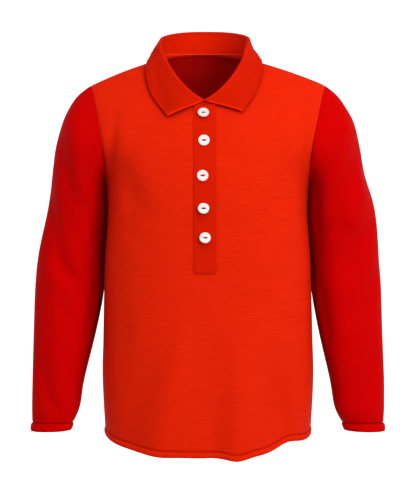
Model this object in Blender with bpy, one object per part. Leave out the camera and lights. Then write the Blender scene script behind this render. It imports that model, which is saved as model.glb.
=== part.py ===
"""A long-sleeved football shirt with a polo collar and a buttoned placket, filled out as if worn.

Metres, +Z up. The origin lies midway between the two points where the shoulder seams meet the neck.
The front faces -Y. Left and right are the wearer's, so the right sleeve is at -X.

The cloth is a wall of one thickness. Front and back follow one torso form, given by its sections,
the line of the shoulders and a short list of folds. The armhole is a loop on that form, and each
sleeve is a tube that starts on its loop. What lies on a panel is made from the panel's own form,
moved out.
"""

import math
from collections import namedtuple

import bmesh
import bpy
import numpy as np
from mathutils import Matrix, Vector

# Driving sizes
CLOTH = 0.0018
COLLAR_CLOTH = 0.0020
SEAM_GAP = 0.0003
ARMHOLE_GAP = 0.00036
NECK_HALF_WIDTH = 0.088
SHOULDER_HALF_WIDTH = 0.2165
UNDERARM_HEIGHT = -0.232
HEM_SIDE_HEIGHT = -0.686

# The torso's sections are superellipses: half the width, and the depth of each side of the seam.
TorsoRow = namedtuple("TorsoRow", "height half_width front back")
TORSO = (
    TorsoRow(-0.760, 0.1880, 0.120, 0.112),
    TorsoRow(-0.690, 0.1890, 0.119, 0.110),
    TorsoRow(-0.630, 0.1925, 0.117, 0.106),
    TorsoRow(-0.573, 0.1945, 0.116, 0.102),
    TorsoRow(-0.518, 0.1930, 0.115, 0.099),
    TorsoRow(-0.444, 0.1915, 0.115, 0.098),
    TorsoRow(-0.370, 0.1895, 0.116, 0.102),
    TorsoRow(-0.324, 0.1860, 0.117, 0.105),
    TorsoRow(-0.277, 0.1815, 0.118, 0.108),
    TorsoRow(-0.240, 0.1830, 0.117, 0.110),
    TorsoRow(-0.215, 0.1895, 0.114, 0.111),
    TorsoRow(-0.190, 0.2030, 0.109, 0.111),
    TorsoRow(-0.165, 0.2240, 0.103, 0.110),
    TorsoRow(-0.140, 0.2440, 0.096, 0.108),
    TorsoRow(-0.100, 0.2560, 0.082, 0.102),
    TorsoRow(-0.046, 0.2620, 0.063, 0.090),
    TorsoRow(0.060, 0.2650, 0.056, 0.078),
)
SECTION_POWER = 2.4

# The shoulder line falls away from the neck, and the surface rounds over it.
SHOULDER_SLOPE = 0.275
SHOULDER_DROOP = 0.68
SHOULDER_ROUNDING = 0.180
NECK_RISE = 0.070
NECK_RISE_HALF_WIDTH = 0.100
CENTRE_SOFTNESS = 0.020

# The neckline
FRONT_NECK_HEIGHT = -0.0925
BACK_NECK_HEIGHT = 0.019
FRONT_NECK_POWER = 1.5
BACK_NECK_POWER = 2.0

# The hem is lower at the middle of the front and back than at the side seams.
HEM_DROP = 0.0325
HEM_DROP_POWER = 0.60
HEM_WAVE_END_POWER = 8
HEM_BAND = 0.0125
HEM_RAISE = 0.0008
HEM_STITCH_FROM, HEM_STITCH_TO = 0.0106, 0.0144
STITCH_GROOVE = 0.0004

# The upper body sits a little to the wearer's right of the hem.
LeanRow = namedtuple("LeanRow", "height shift")
LEAN = (
    LeanRow(-0.620, 0.0),
    LeanRow(-0.420, -0.0055),
    LeanRow(-0.100, -0.0060),
    LeanRow(0.000, -0.0080),
    LeanRow(0.020, -0.0100),
    LeanRow(0.055, -0.0040),
)
LEAN_HALF_WIDTH = 0.200

# Soft folds on the torso, each along a line seen from the front. side is -1 on the front, 1 on the
# back. Depth is outward, so a trough is negative. It grows from the first end, is full at the share
# FULL_FROM of the line and fades past its second end. Near the torso's edge folds die out: they are
# full where the torso is FOLD_FREE_DEPTH deep.
TorsoFold = namedtuple("TorsoFold", "side x0 z0 x1 z1 width depth")
FULL_FROM = 0.75
FADES_FROM, FADES_TO = 1.02, 1.35
FOLD_FREE_DEPTH = 0.060
TORSO_FOLDS = (
    TorsoFold(-1, -0.030, -0.400, -0.088, -0.700, 0.030, 0.0060),
    TorsoFold(-1, -0.100, -0.480, -0.140, -0.700, 0.024, -0.0050),
    TorsoFold(-1, 0.024, -0.440, 0.010, -0.710, 0.018, -0.0050),
    TorsoFold(-1, 0.066, -0.430, 0.053, -0.720, 0.024, 0.0070),
    TorsoFold(-1, 0.105, -0.500, 0.137, -0.705, 0.026, -0.0130),
    TorsoFold(-1, -0.085, -0.330, -0.150, -0.215, 0.022, -0.0045),
    TorsoFold(-1, 0.090, -0.320, 0.150, -0.215, 0.020, -0.0035),
    TorsoFold(1, -0.095, -0.380, -0.118, -0.700, 0.026, -0.0085),
    TorsoFold(1, -0.045, -0.420, -0.052, -0.715, 0.026, 0.0070),
    TorsoFold(1, 0.012, -0.400, 0.006, -0.715, 0.022, -0.0080),
    TorsoFold(1, 0.060, -0.430, 0.072, -0.715, 0.026, 0.0070),
    TorsoFold(1, 0.108, -0.450, 0.128, -0.700, 0.022, -0.0080),
    TorsoFold(1, -0.070, -0.300, -0.150, -0.190, 0.024, -0.0060),
    TorsoFold(1, 0.070, -0.310, 0.150, -0.195, 0.024, -0.0055),
)

# Waves of the hem line, by where they lie across the front or back.
HemWave = namedtuple("HemWave", "side x width height")
HEM_WAVES = (
    HemWave(-1, 0.053, 0.024, -0.0060),
    HemWave(-1, 0.148, 0.030, 0.0125),
    HemWave(-1, -0.088, 0.028, -0.0020),
    HemWave(1, -0.052, 0.026, -0.0035),
    HemWave(1, 0.006, 0.022, 0.0035),
    HemWave(1, 0.072, 0.026, -0.0035),
)

# A sleeve's rings, from the armhole to the cuff. Each is seen from the front between its outer and
# its inner point, with half its depth and how far it lies forward of the armhole.
ARMHOLE_BOW = 0.006
SleeveRow = namedtuple("SleeveRow", "outer_x outer_z inner_x inner_z half_depth forward")
RIGHT_SLEEVE = (
    SleeveRow(0.2165, -0.046, 0.1845, -0.232, 0.060, 0.000),
    SleeveRow(0.2405, -0.065, 0.1854, -0.236, 0.063, -0.002),
    SleeveRow(0.2570, -0.089, 0.1852, -0.243, 0.065, -0.004),
    SleeveRow(0.2700, -0.118, 0.1846, -0.255, 0.066, -0.006),
    SleeveRow(0.2820, -0.160, 0.1836, -0.274, 0.065, -0.009),
    SleeveRow(0.2895, -0.215, 0.1850, -0.302, 0.062, -0.012),
    SleeveRow(0.2990, -0.281, 0.1883, -0.336, 0.057, -0.014),
    SleeveRow(0.3145, -0.356, 0.1913, -0.384, 0.052, -0.013),
    SleeveRow(0.3205, -0.416, 0.1933, -0.430, 0.049, -0.010),
    SleeveRow(0.3225, -0.500, 0.2070, -0.502, 0.045, -0.002),
    SleeveRow(0.3235, -0.588, 0.2275, -0.588, 0.040, 0.008),
    SleeveRow(0.3238, -0.640, 0.2355, -0.639, 0.036, 0.013),
    SleeveRow(0.3232, -0.668, 0.2475, -0.668, 0.030, 0.015),
    SleeveRow(0.3252, -0.683, 0.2525, -0.682, 0.031, 0.016),
)
LEFT_SLEEVE = (
    SleeveRow(0.2165, -0.046, 0.1845, -0.232, 0.060, 0.000),
    SleeveRow(0.2390, -0.065, 0.1854, -0.236, 0.063, -0.002),
    SleeveRow(0.2560, -0.089, 0.1852, -0.243, 0.065, -0.004),
    SleeveRow(0.2705, -0.117, 0.1846, -0.255, 0.066, -0.006),
    SleeveRow(0.2810, -0.158, 0.1836, -0.274, 0.065, -0.009),
    SleeveRow(0.2910, -0.212, 0.1850, -0.302, 0.062, -0.012),
    SleeveRow(0.3105, -0.277, 0.1883, -0.336, 0.058, -0.014),
    SleeveRow(0.3170, -0.352, 0.1913, -0.384, 0.053, -0.013),
    SleeveRow(0.3210, -0.416, 0.1928, -0.430, 0.050, -0.010),
    SleeveRow(0.3225, -0.500, 0.2050, -0.502, 0.046, -0.002),
    SleeveRow(0.3245, -0.588, 0.2240, -0.588, 0.041, 0.008),
    SleeveRow(0.3240, -0.640, 0.2325, -0.639, 0.037, 0.013),
    SleeveRow(0.3226, -0.668, 0.2460, -0.668, 0.030, 0.015),
    SleeveRow(0.3246, -0.683, 0.2515, -0.682, 0.031, 0.016),
)
ARMHOLE_BLEND_ROWS = 3.0

# Soft folds on a sleeve, each along a line from one place to another: the row of the table above,
# and the angle round from the outer side over the front. Depth is outward, and a fold rises and
# falls over the shares of its length that follow the tables.
SleeveFold = namedtuple("SleeveFold", "row0 angle0 row1 angle1 width depth")
RIGHT_SLEEVE_FOLDS = (
    SleeveFold(3.4, 30, 5.6, 100, 0.020, -0.0055),
    SleeveFold(5.4, 20, 7.6, 95, 0.018, -0.0065),
    SleeveFold(7.0, 60, 8.3, 130, 0.016, -0.0045),
    SleeveFold(9.6, 40, 11.2, 100, 0.018, -0.0040),
    SleeveFold(4.0, 330, 6.2, 250, 0.020, -0.0060),
    SleeveFold(6.2, 320, 7.8, 235, 0.018, -0.0065),
    SleeveFold(8.2, 300, 9.8, 240, 0.018, -0.0045),
)
LEFT_SLEEVE_FOLDS = (
    SleeveFold(3.8, 35, 5.7, 115, 0.022, -0.0060),
    SleeveFold(5.9, 25, 7.5, 105, 0.020, -0.0065),
    SleeveFold(7.3, 15, 8.8, 80, 0.016, -0.0045),
    SleeveFold(9.4, 50, 11.0, 110, 0.018, -0.0040),
    SleeveFold(3.7, 325, 5.9, 245, 0.020, -0.0060),
    SleeveFold(6.4, 325, 8.0, 240, 0.018, -0.0060),
    SleeveFold(8.6, 290, 10.0, 235, 0.018, -0.0045),
)
SLEEVE_FOLD_RISE = (-0.25, 0.35)
SLEEVE_FOLD_FALL = (0.65, 1.25)
FOLD_ROW_PITCH = 0.052
FOLD_RADIUS = 0.058

# The collar, from the middle of the front (0) over the shoulder (0.5) to the middle of the back (1):
# the height of its stand, how far the stand leans to the neck, how far the fall reaches from the
# neckline on each half, and how far it stays off the shirt.
CollarRow = namedtuple("CollarRow", "share stand lean_degrees fall_right fall_left lift")
COLLAR = (
    CollarRow(0.00, 0.0095, 20.0, 0.0700, 0.0678, 0.0040),
    CollarRow(0.07, 0.0115, 20.0, 0.0622, 0.0590, 0.0040),
    CollarRow(0.14, 0.0142, 20.0, 0.0535, 0.0485, 0.0038),
    CollarRow(0.29, 0.0220, 18.0, 0.0402, 0.0335, 0.0036),
    CollarRow(0.43, 0.0310, 16.0, 0.0250, 0.0208, 0.0042),
    CollarRow(0.50, 0.0360, 15.0, 0.0175, 0.0165, 0.0042),
    CollarRow(0.65, 0.0410, 11.0, 0.0160, 0.0160, 0.0038),
    CollarRow(0.80, 0.0430, 8.0, 0.0150, 0.0150, 0.0032),
    CollarRow(1.00, 0.0425, 8.0, 0.0140, 0.0140, 0.0030),
)
RIGHT_FALL_SLANT_DEGREES = 20.0
LEFT_FALL_SLANT_DEGREES = 12.0
COLLAR_END_GAP = 0.0004
COLLAR_END_SHARE = 0.10
BACK_FALL_SHARES = (0.50, 0.62)
COLLAR_FOLD_RADIUS = 0.0027
STAND_POINTS = 7
FALL_FULLNESS = 0.0018
FALL_STEPS = 12

# The placket's two bands close a slit in the front.
SLIT_HALF_WIDTH = 0.0150
SLIT_BOTTOM_HEIGHT = -0.383
PLACKET_HALF_WIDTH = 0.0192
PLACKET_BOTTOM_HEIGHT = -0.393
PLACKET_CLOTH = 0.0016

# The buttons, with how far each one's face is turned up from the placket.
Button = namedtuple("Button", "height offset tip_degrees")
BUTTONS = (
    Button(-0.1085, -0.0022, 8.0),
    Button(-0.1580, -0.0012, 0.0),
    Button(-0.2210, -0.0035, 0.0),
    Button(-0.2790, -0.0020, 14.0),
    Button(-0.3305, 0.0005, 14.0),
)
BUTTON_RADIUS = 0.0100
BUTTON_THICKNESS = 0.0026
BUTTON_RIM = 0.0018
BUTTON_DISH = 0.0007
BUTTON_EDGE_HEIGHT = 0.0012
BUTTON_CHAMFER = 0.0006
BUTTON_DISH_EDGE = 0.0029
BUTTON_SIDES = 24

SMOOTH_UP_TO_DEGREES = 50.0
WELD_DISTANCE = 1e-5

# How far apart slopes are taken, and how often a point is brought back to the torso
TORSO_STEP = 2e-5
NECK_STEP = 0.004
LEAST_SQUARED_SLOPE = 1e-9
SETTLING_ROUNDS = 4

# How finely the cloth is divided
COLUMN_HEIGHT = -0.40
SIDE_COLUMNS = 10
NECK_COLUMNS = 6
LOWER_ROWS = 8
SLIT_ROWS = 4
ARMHOLE_ROWS = 12
RINGS_PER_SLEEVE_ROW = 2
HEM_ROWS = (0.0, 0.35, 0.80, 1.0, 1.2)
CUFF_RINGS = (1.2, 1.0, 0.8, 0.35, 0.0)
LAST_PLAIN_RING = 1.5
EVEN_SAMPLES = 240
NECK_SAMPLES = 400
STAND_SHARES = (0.0, 0.5, 1.0)
FOLD_TURNS_DEGREES = (45, 90, 135)
FALL_SHARES = (0.0, 0.25, 0.5, 0.75, 1.0)


def smooth_step(value, low, high):
    """0 below low, 1 above high, and a soft rise between."""
    share = min(max((value - low) / (high - low), 0.0), 1.0)
    return share * share * (3 - 2 * share)


def along_table(table, places, place):
    """Every column of a table at a place between its rows, on a smooth curve through the rows."""
    values = np.array(table, float)
    last = len(places) - 1
    i = min(max(int(np.searchsorted(places, place)) - 1, 0), last - 1)
    low, high = max(i - 1, 0), min(i + 2, last)
    span = places[i + 1] - places[i]
    t = (place - places[i]) / span
    slope0 = (values[i + 1] - values[low]) / (places[i + 1] - places[low]) * span
    slope1 = (values[high] - values[i]) / (places[high] - places[i]) * span
    return (
        (2 * t**3 - 3 * t**2 + 1) * values[i]
        + (t**3 - 2 * t**2 + t) * slope0
        + (3 * t**2 - 2 * t**3) * values[i + 1]
        + (t**3 - t**2) * slope1
    )


TORSO_HEIGHTS = [row.height for row in TORSO]


def torso_row(height):
    """The torso's section at a height."""
    height = min(max(height, TORSO_HEIGHTS[0]), TORSO_HEIGHTS[-1])
    return TorsoRow(*along_table(TORSO, TORSO_HEIGHTS, height))


def ridge_height(x):
    """The height of the shoulder line at x. Inside the neck it goes on up, where no cloth is."""
    out = math.hypot(x, CENTRE_SOFTNESS) - NECK_HALF_WIDTH
    near_neck = max(0.0, 1 - (x / NECK_RISE_HALF_WIDTH) ** 2)
    droop = SHOULDER_DROOP * max(out, 0.0) ** 2
    return -SHOULDER_SLOPE * out - droop + NECK_RISE * near_neck**2


def along_line(x, z, fold):
    """How strong a fold is at a point seen from the front, from 0 to 1."""
    run = np.array([fold.x1 - fold.x0, fold.z1 - fold.z0])
    length = float(np.hypot(*run))
    offset = np.array([x - fold.x0, z - fold.z0])
    share = float(offset @ run) / length**2
    aside = float(offset[0] * run[1] - offset[1] * run[0]) / length
    end = smooth_step(share, 0.0, FULL_FROM) * (1 - smooth_step(share, FADES_FROM, FADES_TO))
    return math.exp(-((aside / fold.width) ** 2)) * end


def squared_depth(x, z, side):
    """The square of the torso's depth on one side at a point seen from the front. It is below 0
    where the point lies outside the torso's outline."""
    row = torso_row(z)
    across = abs(x / row.half_width) ** SECTION_POWER
    sides = math.copysign(abs(1 - across) ** (2 / SECTION_POWER), 1 - across)
    below = min((ridge_height(x) - z) / SHOULDER_ROUNDING, 1.0)
    rounding = below * (2 - below)
    depth = row.front if side < 0 else row.back
    if sides < 0 or rounding < 0:
        return -abs(depth**2 * sides * rounding)
    plain = depth * math.sqrt(sides * rounding)
    folds = sum(f.depth * along_line(x, z, f) for f in TORSO_FOLDS if f.side == side)
    return (plain + folds * smooth_step(plain, 0.0, FOLD_FREE_DEPTH)) ** 2


def torso_point(x, z, side):
    """The point of the torso's surface that is seen at x and z from the front or the back."""
    return np.array([x, side * math.sqrt(max(squared_depth(x, z, side), 0.0)), z])


def outside(point):
    """Above 0 outside the torso's surface and below 0 inside it."""
    x, y, z = point
    return y * y - squared_depth(x, z, -1 if y < 0 else 1)


def unit(vector):
    """The same direction at length 1."""
    return vector / np.linalg.norm(vector)


def torso_normal(point, step=TORSO_STEP):
    """The direction straight out of the torso's surface."""
    slope = [
        outside(point + step * axis) - outside(point - step * axis) for axis in np.eye(3)
    ]
    return unit(np.array(slope))


def on_torso(point):
    """The same point brought back to the torso's surface."""
    step = TORSO_STEP
    for _ in range(SETTLING_ROUNDS):
        slope = np.array(
            [outside(point + step * a) - outside(point - step * a) for a in np.eye(3)]
        ) / (2 * step)
        point = point - slope * outside(point) / max(float(slope @ slope), LEAST_SQUARED_SLOPE)
    return point


def leaned(point):
    """A point moved sideways as the upper body leans."""
    x, y, z = point
    shift = float(np.interp(z, [row.height for row in LEAN], [row.shift for row in LEAN]))
    return np.array([x + shift * max(0.0, 1 - (x / LEAN_HALF_WIDTH) ** 2), y, z])


def hem_height(across, side):
    """The height of the hem, from 0 at the middle of a side to 1 at the side seam."""
    width = torso_row(HEM_SIDE_HEIGHT).half_width
    drop = HEM_DROP * max(0.0, 1 - abs(across) ** SECTION_POWER) ** HEM_DROP_POWER
    waves = sum(
        w.height * math.exp(-(((across * width - w.x) / w.width) ** 2))
        for w in HEM_WAVES
        if w.side == side
    )
    return HEM_SIDE_HEIGHT - drop + waves * (1 - across**HEM_WAVE_END_POWER)


def hem_raise(distance):
    """How far the outer face stands out near a turned hem, by the distance from its edge."""
    if distance < HEM_STITCH_FROM:
        return HEM_RAISE * math.sin(math.pi * (distance + HEM_STITCH_FROM / 4) / HEM_BAND)
    if distance < HEM_STITCH_TO:
        return -STITCH_GROOVE
    return 0.0


def neckline_point(share, side):
    """A point of half the neckline, from the middle (0) to the shoulder seam (1), seen from the
    front: x and z."""
    top = ridge_height(NECK_HALF_WIDTH)
    angle = share * math.pi / 2
    if side < 0:
        power = 2 / FRONT_NECK_POWER
        x = NECK_HALF_WIDTH * math.sin(angle) ** power
        z = top - (top - FRONT_NECK_HEIGHT) * math.cos(angle) ** power
        return x, z
    x = NECK_HALF_WIDTH * math.sin(angle)
    return x, top + (BACK_NECK_HEIGHT - top) * math.cos(angle) ** BACK_NECK_POWER


def even_shares(curve, count, samples=EVEN_SAMPLES):
    """Parameters from 0 to 1 that divide a curve into stretches of equal length."""
    at = np.linspace(0, 1, samples + 1)
    points = np.array([curve(t) for t in at])
    run = np.concatenate([[0], np.cumsum(np.linalg.norm(np.diff(points, axis=0), axis=1))])
    return np.interp(np.linspace(0, run[-1], count + 1), run, at)


def neckline_shares(side):
    """Where the panel's columns meet the neckline: its middle, the edges of the slit and of the
    placket, and even steps from there to the shoulder seam."""
    fine = np.linspace(0, 1, NECK_SAMPLES)
    reach = [neckline_point(t, side)[0] for t in fine]
    slit, edge = np.interp([SLIT_HALF_WIDTH, PLACKET_HALF_WIDTH], reach, fine)

    def curve(share):
        return torso_point(*neckline_point(edge + (1 - edge) * share, side), side)

    return [0.0, slit] + [edge + (1 - edge) * t for t in even_shares(curve, NECK_COLUMNS)]


def section_shares():
    """Where the panel's columns lie across a section, as shares of its half width."""
    row = torso_row(COLUMN_HEIGHT)
    slit, edge = SLIT_HALF_WIDTH / row.half_width, PLACKET_HALF_WIDTH / row.half_width

    def share_at(turn):
        return edge + (1 - edge) * math.sin(turn * math.pi / 2)

    def curve(turn):
        depth = row.front * max(0.0, 1 - share_at(turn) ** SECTION_POWER) ** (1 / SECTION_POWER)
        return share_at(turn) * row.half_width, depth

    return [0.0, slit] + [share_at(turn) for turn in even_shares(curve, SIDE_COLUMNS)]


def armhole_view(angle):
    """The armhole seen from the front, from the shoulder (0) to the underarm (pi): x and z."""
    top = ridge_height(SHOULDER_HALF_WIDTH)
    share = (1 + math.cos(angle)) / 2
    bottom_x = torso_row(UNDERARM_HEIGHT).half_width
    x = bottom_x + (SHOULDER_HALF_WIDTH - bottom_x) * share
    z = UNDERARM_HEIGHT + (top - UNDERARM_HEIGHT) * share
    return x - ARMHOLE_BOW * math.sin(angle) ** 2, z


def armhole_point(angle, hand):
    """A point of the armhole's loop: the shoulder at 0, the front at pi/2, the underarm at pi."""
    angle = angle % (2 * math.pi)
    side = -1 if angle <= math.pi else 1
    x, z = armhole_view(min(angle, 2 * math.pi - angle))
    return torso_point(hand * x, z, side)


def sleeve_fold(row, angle, folds):
    """How far a sleeve's folds move its surface out."""
    total = 0.0
    for fold in folds:
        turn = (math.degrees(angle) - fold.angle0 + 180) % 360 - 180
        run = np.array(
            [
                (fold.row1 - fold.row0) * FOLD_ROW_PITCH,
                math.radians(fold.angle1 - fold.angle0) * FOLD_RADIUS,
            ]
        )
        offset = np.array(
            [(row - fold.row0) * FOLD_ROW_PITCH, math.radians(turn) * FOLD_RADIUS]
        )
        length = float(np.hypot(*run))
        share = float(offset @ run) / length**2
        aside = float(offset[0] * run[1] - offset[1] * run[0]) / length
        end = smooth_step(share, *SLEEVE_FOLD_RISE) * (1 - smooth_step(share, *SLEEVE_FOLD_FALL))
        total += fold.depth * math.exp(-((aside / fold.width) ** 2)) * end
    return total


class Sleeve:
    """The form of one sleeve. hand is -1 for the wearer's right and 1 for the left."""

    def __init__(self, rows, folds, hand):
        self.rows, self.folds, self.hand = rows, folds, hand
        self.places = list(range(len(rows)))

    def plain_point(self, angle, place):
        """A point of the tube, before it blends into the armhole."""
        row = SleeveRow(*along_table(self.rows, self.places, place))
        outer = np.array([self.hand * row.outer_x, 0.0, row.outer_z])
        inner = np.array([self.hand * row.inner_x, 0.0, row.inner_z])
        centre, reach = (outer + inner) / 2, (outer - inner) / 2
        fold = sleeve_fold(place, angle, self.folds)
        across = reach * math.cos(angle) * (1 + fold / np.linalg.norm(reach))
        deep = (row.half_depth + fold) * math.sin(angle)
        return centre + across + np.array([0.0, -deep - row.forward, 0.0])

    def point(self, angle, place):
        """A point of the sleeve's outer surface. Its first ring is the armhole's loop."""
        near = 1 - smooth_step(place, 0.0, ARMHOLE_BLEND_ROWS)
        if place <= 0:
            return armhole_point(angle, self.hand)
        shift = armhole_point(angle, self.hand) - self.plain_point(angle, 0.0)
        return self.plain_point(angle, place) + shift * near

    def normal(self, angle, place, step=0.02):
        """The direction straight out of the sleeve's surface."""
        last = self.places[-1]
        low, high = max(place - step, 0.0), min(place + step, last)
        along = self.point(angle, high) - self.point(angle, low)
        around = self.point(angle + step, place) - self.point(angle - step, place)
        return unit(np.cross(around, along)) * self.hand

    def seam_normal(self, angle):
        """The mitre between the sleeve's wall and the body's at the armhole."""
        body = torso_normal(armhole_point(angle, self.hand))
        return unit(body + self.normal(angle, 0.0))

    def seam_outward(self, angle, step=0.01):
        """Across the armhole's seam, from the body to the sleeve."""
        around = armhole_point(angle + step, self.hand) - armhole_point(angle - step, self.hand)
        across = unit(np.cross(around, self.seam_normal(angle)))
        return across * self.hand * -1


def new_object(name, mesh_data, material):
    """An object in the scene from mesh data, smooth but for its sharp edges."""
    mesh = bpy.data.meshes.new(name)
    mesh_data.to_mesh(mesh)
    mesh_data.free()
    mesh.materials.append(material)
    mesh.shade_smooth()
    mesh.set_sharp_from_angle(angle=math.radians(SMOOTH_UP_TO_DEGREES))
    obj = bpy.data.objects.new(name, mesh)
    bpy.context.scene.collection.objects.link(obj)
    return obj


def wall(name, outer, inner, material, round_about=False, left_out=()):
    """A closed wall between two grids of points, each cell split along its shorter diagonal.
    round_about joins the last column to the first, and left_out names cells, by row and column,
    that stay open."""
    rows, columns = len(outer), len(outer[0])
    shell = bmesh.new()
    skins = [
        [[shell.verts.new(Vector(p)) for p in row] for row in grid] for grid in (outer, inner)
    ]
    cells = {
        (i, j)
        for i in range(rows - 1)
        for j in range(columns if round_about else columns - 1)
        if (i, j) not in left_out
    }
    edges = {}
    for i, j in sorted(cells):
        k = (j + 1) % columns
        ring = [(i, j), (i, k), (i + 1, k), (i + 1, j)]
        corners = [skins[0][a][b].co for a, b in ring]
        if (corners[1] - corners[3]).length < (corners[0] - corners[2]).length:
            ring = ring[1:] + ring[:1]
        for half in (ring[:3], ring[2:] + ring[:1]):
            shell.faces.new([skins[0][a][b] for a, b in half])
            shell.faces.new([skins[1][a][b] for a, b in half[::-1]])
        for start, end in zip(ring, ring[1:] + ring[:1]):
            edges[(start, end)] = True
    for start, end in sorted(edges):
        if (end, start) not in edges:
            near, far = skins[0][start[0]][start[1]], skins[0][end[0]][end[1]]
            near_in, far_in = skins[1][start[0]][start[1]], skins[1][end[0]][end[1]]
            shell.faces.new([far, near, near_in, far_in])
    loose = [v for v in shell.verts if not v.link_faces]
    bmesh.ops.delete(shell, geom=loose, context="VERTS")
    bmesh.ops.recalc_face_normals(shell, faces=shell.faces)
    return new_object(name, shell, material)


def half_panel(side, hand):
    """Rows of (point, normal) for half of the front or back, from its middle to its edge."""
    across = section_shares()
    last = len(across) - 1
    sleeve = Sleeve(RIGHT_SLEEVE if hand < 0 else LEFT_SLEEVE, (), hand)
    rows = []

    def lower_row(height_of, raised=0.0):
        row = []
        for share in across:
            z = height_of(share)
            x = hand * share * torso_row(z).half_width
            point = torso_point(x, z, side) if share < 1 else np.array([x, 0.0, z])
            normal = torso_normal(point)
            row.append((point + raised * normal, normal))
        rows.append(row)

    def hem(share):
        return hem_height(hand * share, side)

    for part in HEM_ROWS:
        lower_row(lambda s, d=part * HEM_BAND: hem(s) + d, hem_raise(part * HEM_BAND))
    start = HEM_ROWS[-1] * HEM_BAND
    for t in np.linspace(0, 1, LOWER_ROWS + 1)[1:]:
        lower_row(lambda s, t=t: (1 - t) * (hem(s) + start) + t * PLACKET_BOTTOM_HEIGHT)
    for t in np.linspace(0, 1, SLIT_ROWS + 1):
        lower_row(lambda s, t=t: (1 - t) * SLIT_BOTTOM_HEIGHT + t * UNDERARM_HEIGHT)
    rows[-1][last] = (rows[-1][last][0], sleeve.seam_normal(math.pi))

    bottom = [(hand * s * torso_row(UNDERARM_HEIGHT).half_width, UNDERARM_HEIGHT) for s in across]
    top = [(hand * x, z) for x, z in (neckline_point(s, side) for s in neckline_shares(side))]
    seam_columns = last + 1 - len(top)
    for t in np.linspace(0, 1, seam_columns + 1)[1:]:
        x = NECK_HALF_WIDTH + (SHOULDER_HALF_WIDTH - NECK_HALF_WIDTH) * t
        top.append((hand * x, ridge_height(x)))
    for i in range(1, ARMHOLE_ROWS + 1):
        angle = math.pi * (1 - i / ARMHOLE_ROWS)
        up = (1 + math.cos(angle)) / 2
        edge_x, edge_z = armhole_view(angle)
        bowed = hand * edge_x - ((1 - up) * bottom[last][0] + up * top[last][0])
        row = []
        for j in range(last + 1):
            x = (1 - up) * bottom[j][0] + up * top[j][0] + bowed * j / last
            z = (1 - up) * bottom[j][1] + up * top[j][1]
            if i == ARMHOLE_ROWS and j >= last - seam_columns:
                point = np.array([x, 0.0, z])
            else:
                point = torso_point(x, z, side)
            normal = torso_normal(point)
            if j == last:
                normal = sleeve.seam_normal(angle if side < 0 else -angle)
            row.append((point, normal))
        rows.append(row)
    return rows


def full_panel(side):
    """Rows of (point, normal) for the front or back, with half a seam's gap to the other panel."""
    apart = np.array([0.0, side * SEAM_GAP / 2, 0.0])
    rows = []
    for one, other in zip(half_panel(side, -1), half_panel(side, 1)):
        row = list(reversed(one)) + other[1:]
        rows.append([(point + apart, normal) for point, normal in row])
    return rows


def layer(name, rows, material, lift, cloth, left_out=()):
    """Cloth that follows rows of (point, normal): its outer face is lift above the points."""
    outer = [[leaned(point + lift * normal) for point, normal in row] for row in rows]
    inner = [[leaned(point + (lift - cloth) * normal) for point, normal in row] for row in rows]
    return wall(name, outer, inner, material, left_out=left_out)


def front_slit(rows):
    """The cells of the front that the slit leaves open: two columns, from its bottom to the neck."""
    middle = len(rows[0]) // 2
    first = len(HEM_ROWS) + LOWER_ROWS
    return {(i, j) for i in range(first, len(rows) - 1) for j in (middle - 1, middle)}


def placket_rows(rows):
    """The front's own rows and columns where the placket's bands lie, ending just below the neck."""
    middle = len(rows[0]) // 2
    first = len(HEM_ROWS) + LOWER_ROWS - 1
    chosen = [row[middle - 2 : middle + 3] for row in rows[first:]]
    below, top = chosen[-2], chosen[-1]
    chosen[-1] = [
        (point + 2 * SEAM_GAP * unit(under - point), normal)
        for (point, normal), (under, _) in zip(top, below)
    ]
    return chosen


def sleeve_wall(name, rows, folds, hand, material):
    """One sleeve: rings from the armhole to the cuff's turned hem."""
    form = Sleeve(rows, folds, hand)
    last = len(rows) - 1
    angles = [math.pi * k / ARMHOLE_ROWS for k in range(2 * ARMHOLE_ROWS)]
    places = list(np.arange(0, last - LAST_PLAIN_RING + 0.1, 1 / RINGS_PER_SLEEVE_ROW))
    places += [last - part for part in CUFF_RINGS]
    outer, inner = [], []
    for place in places:
        out_row, in_row = [], []
        for angle in angles:
            point = form.point(angle, place)
            if place == 0:
                normal = form.seam_normal(angle)
                point = point + ARMHOLE_GAP * form.seam_outward(angle)
            else:
                normal = form.normal(angle, place)
                edge = (last - place) * abs(rows[-1].outer_z - rows[-2].outer_z)
                point = point + hem_raise(edge) * normal
            out_row.append(leaned(point))
            in_row.append(leaned(point - CLOTH * normal))
        outer.append(out_row)
        inner.append(in_row)
    return wall(name, outer, inner, material, round_about=True)


def neck_edge(share, hand):
    """The neckline from the middle of the front (0) to the middle of the back (1): the point, the
    torso's normal there, the line's direction, and the direction from the panel to the neck. At the
    collar's ends that last one is straight up the middle of the front."""

    def at(value):
        side = -1 if value <= 0.5 else 1
        half = 2 * value if side < 0 else 2 * (1 - value)
        x, z = neckline_point(half, side)
        return torso_point(hand * x, z, side)

    point = at(share)
    along = unit(at(min(share + NECK_STEP, 1.0)) - at(max(share - NECK_STEP, 0.0)))
    normal = torso_normal(point)
    to_neck = np.cross(normal, along) * hand
    to_neck[0] *= smooth_step(share, 0.0, COLLAR_END_SHARE)
    return point, normal, along, unit(to_neck)


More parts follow.
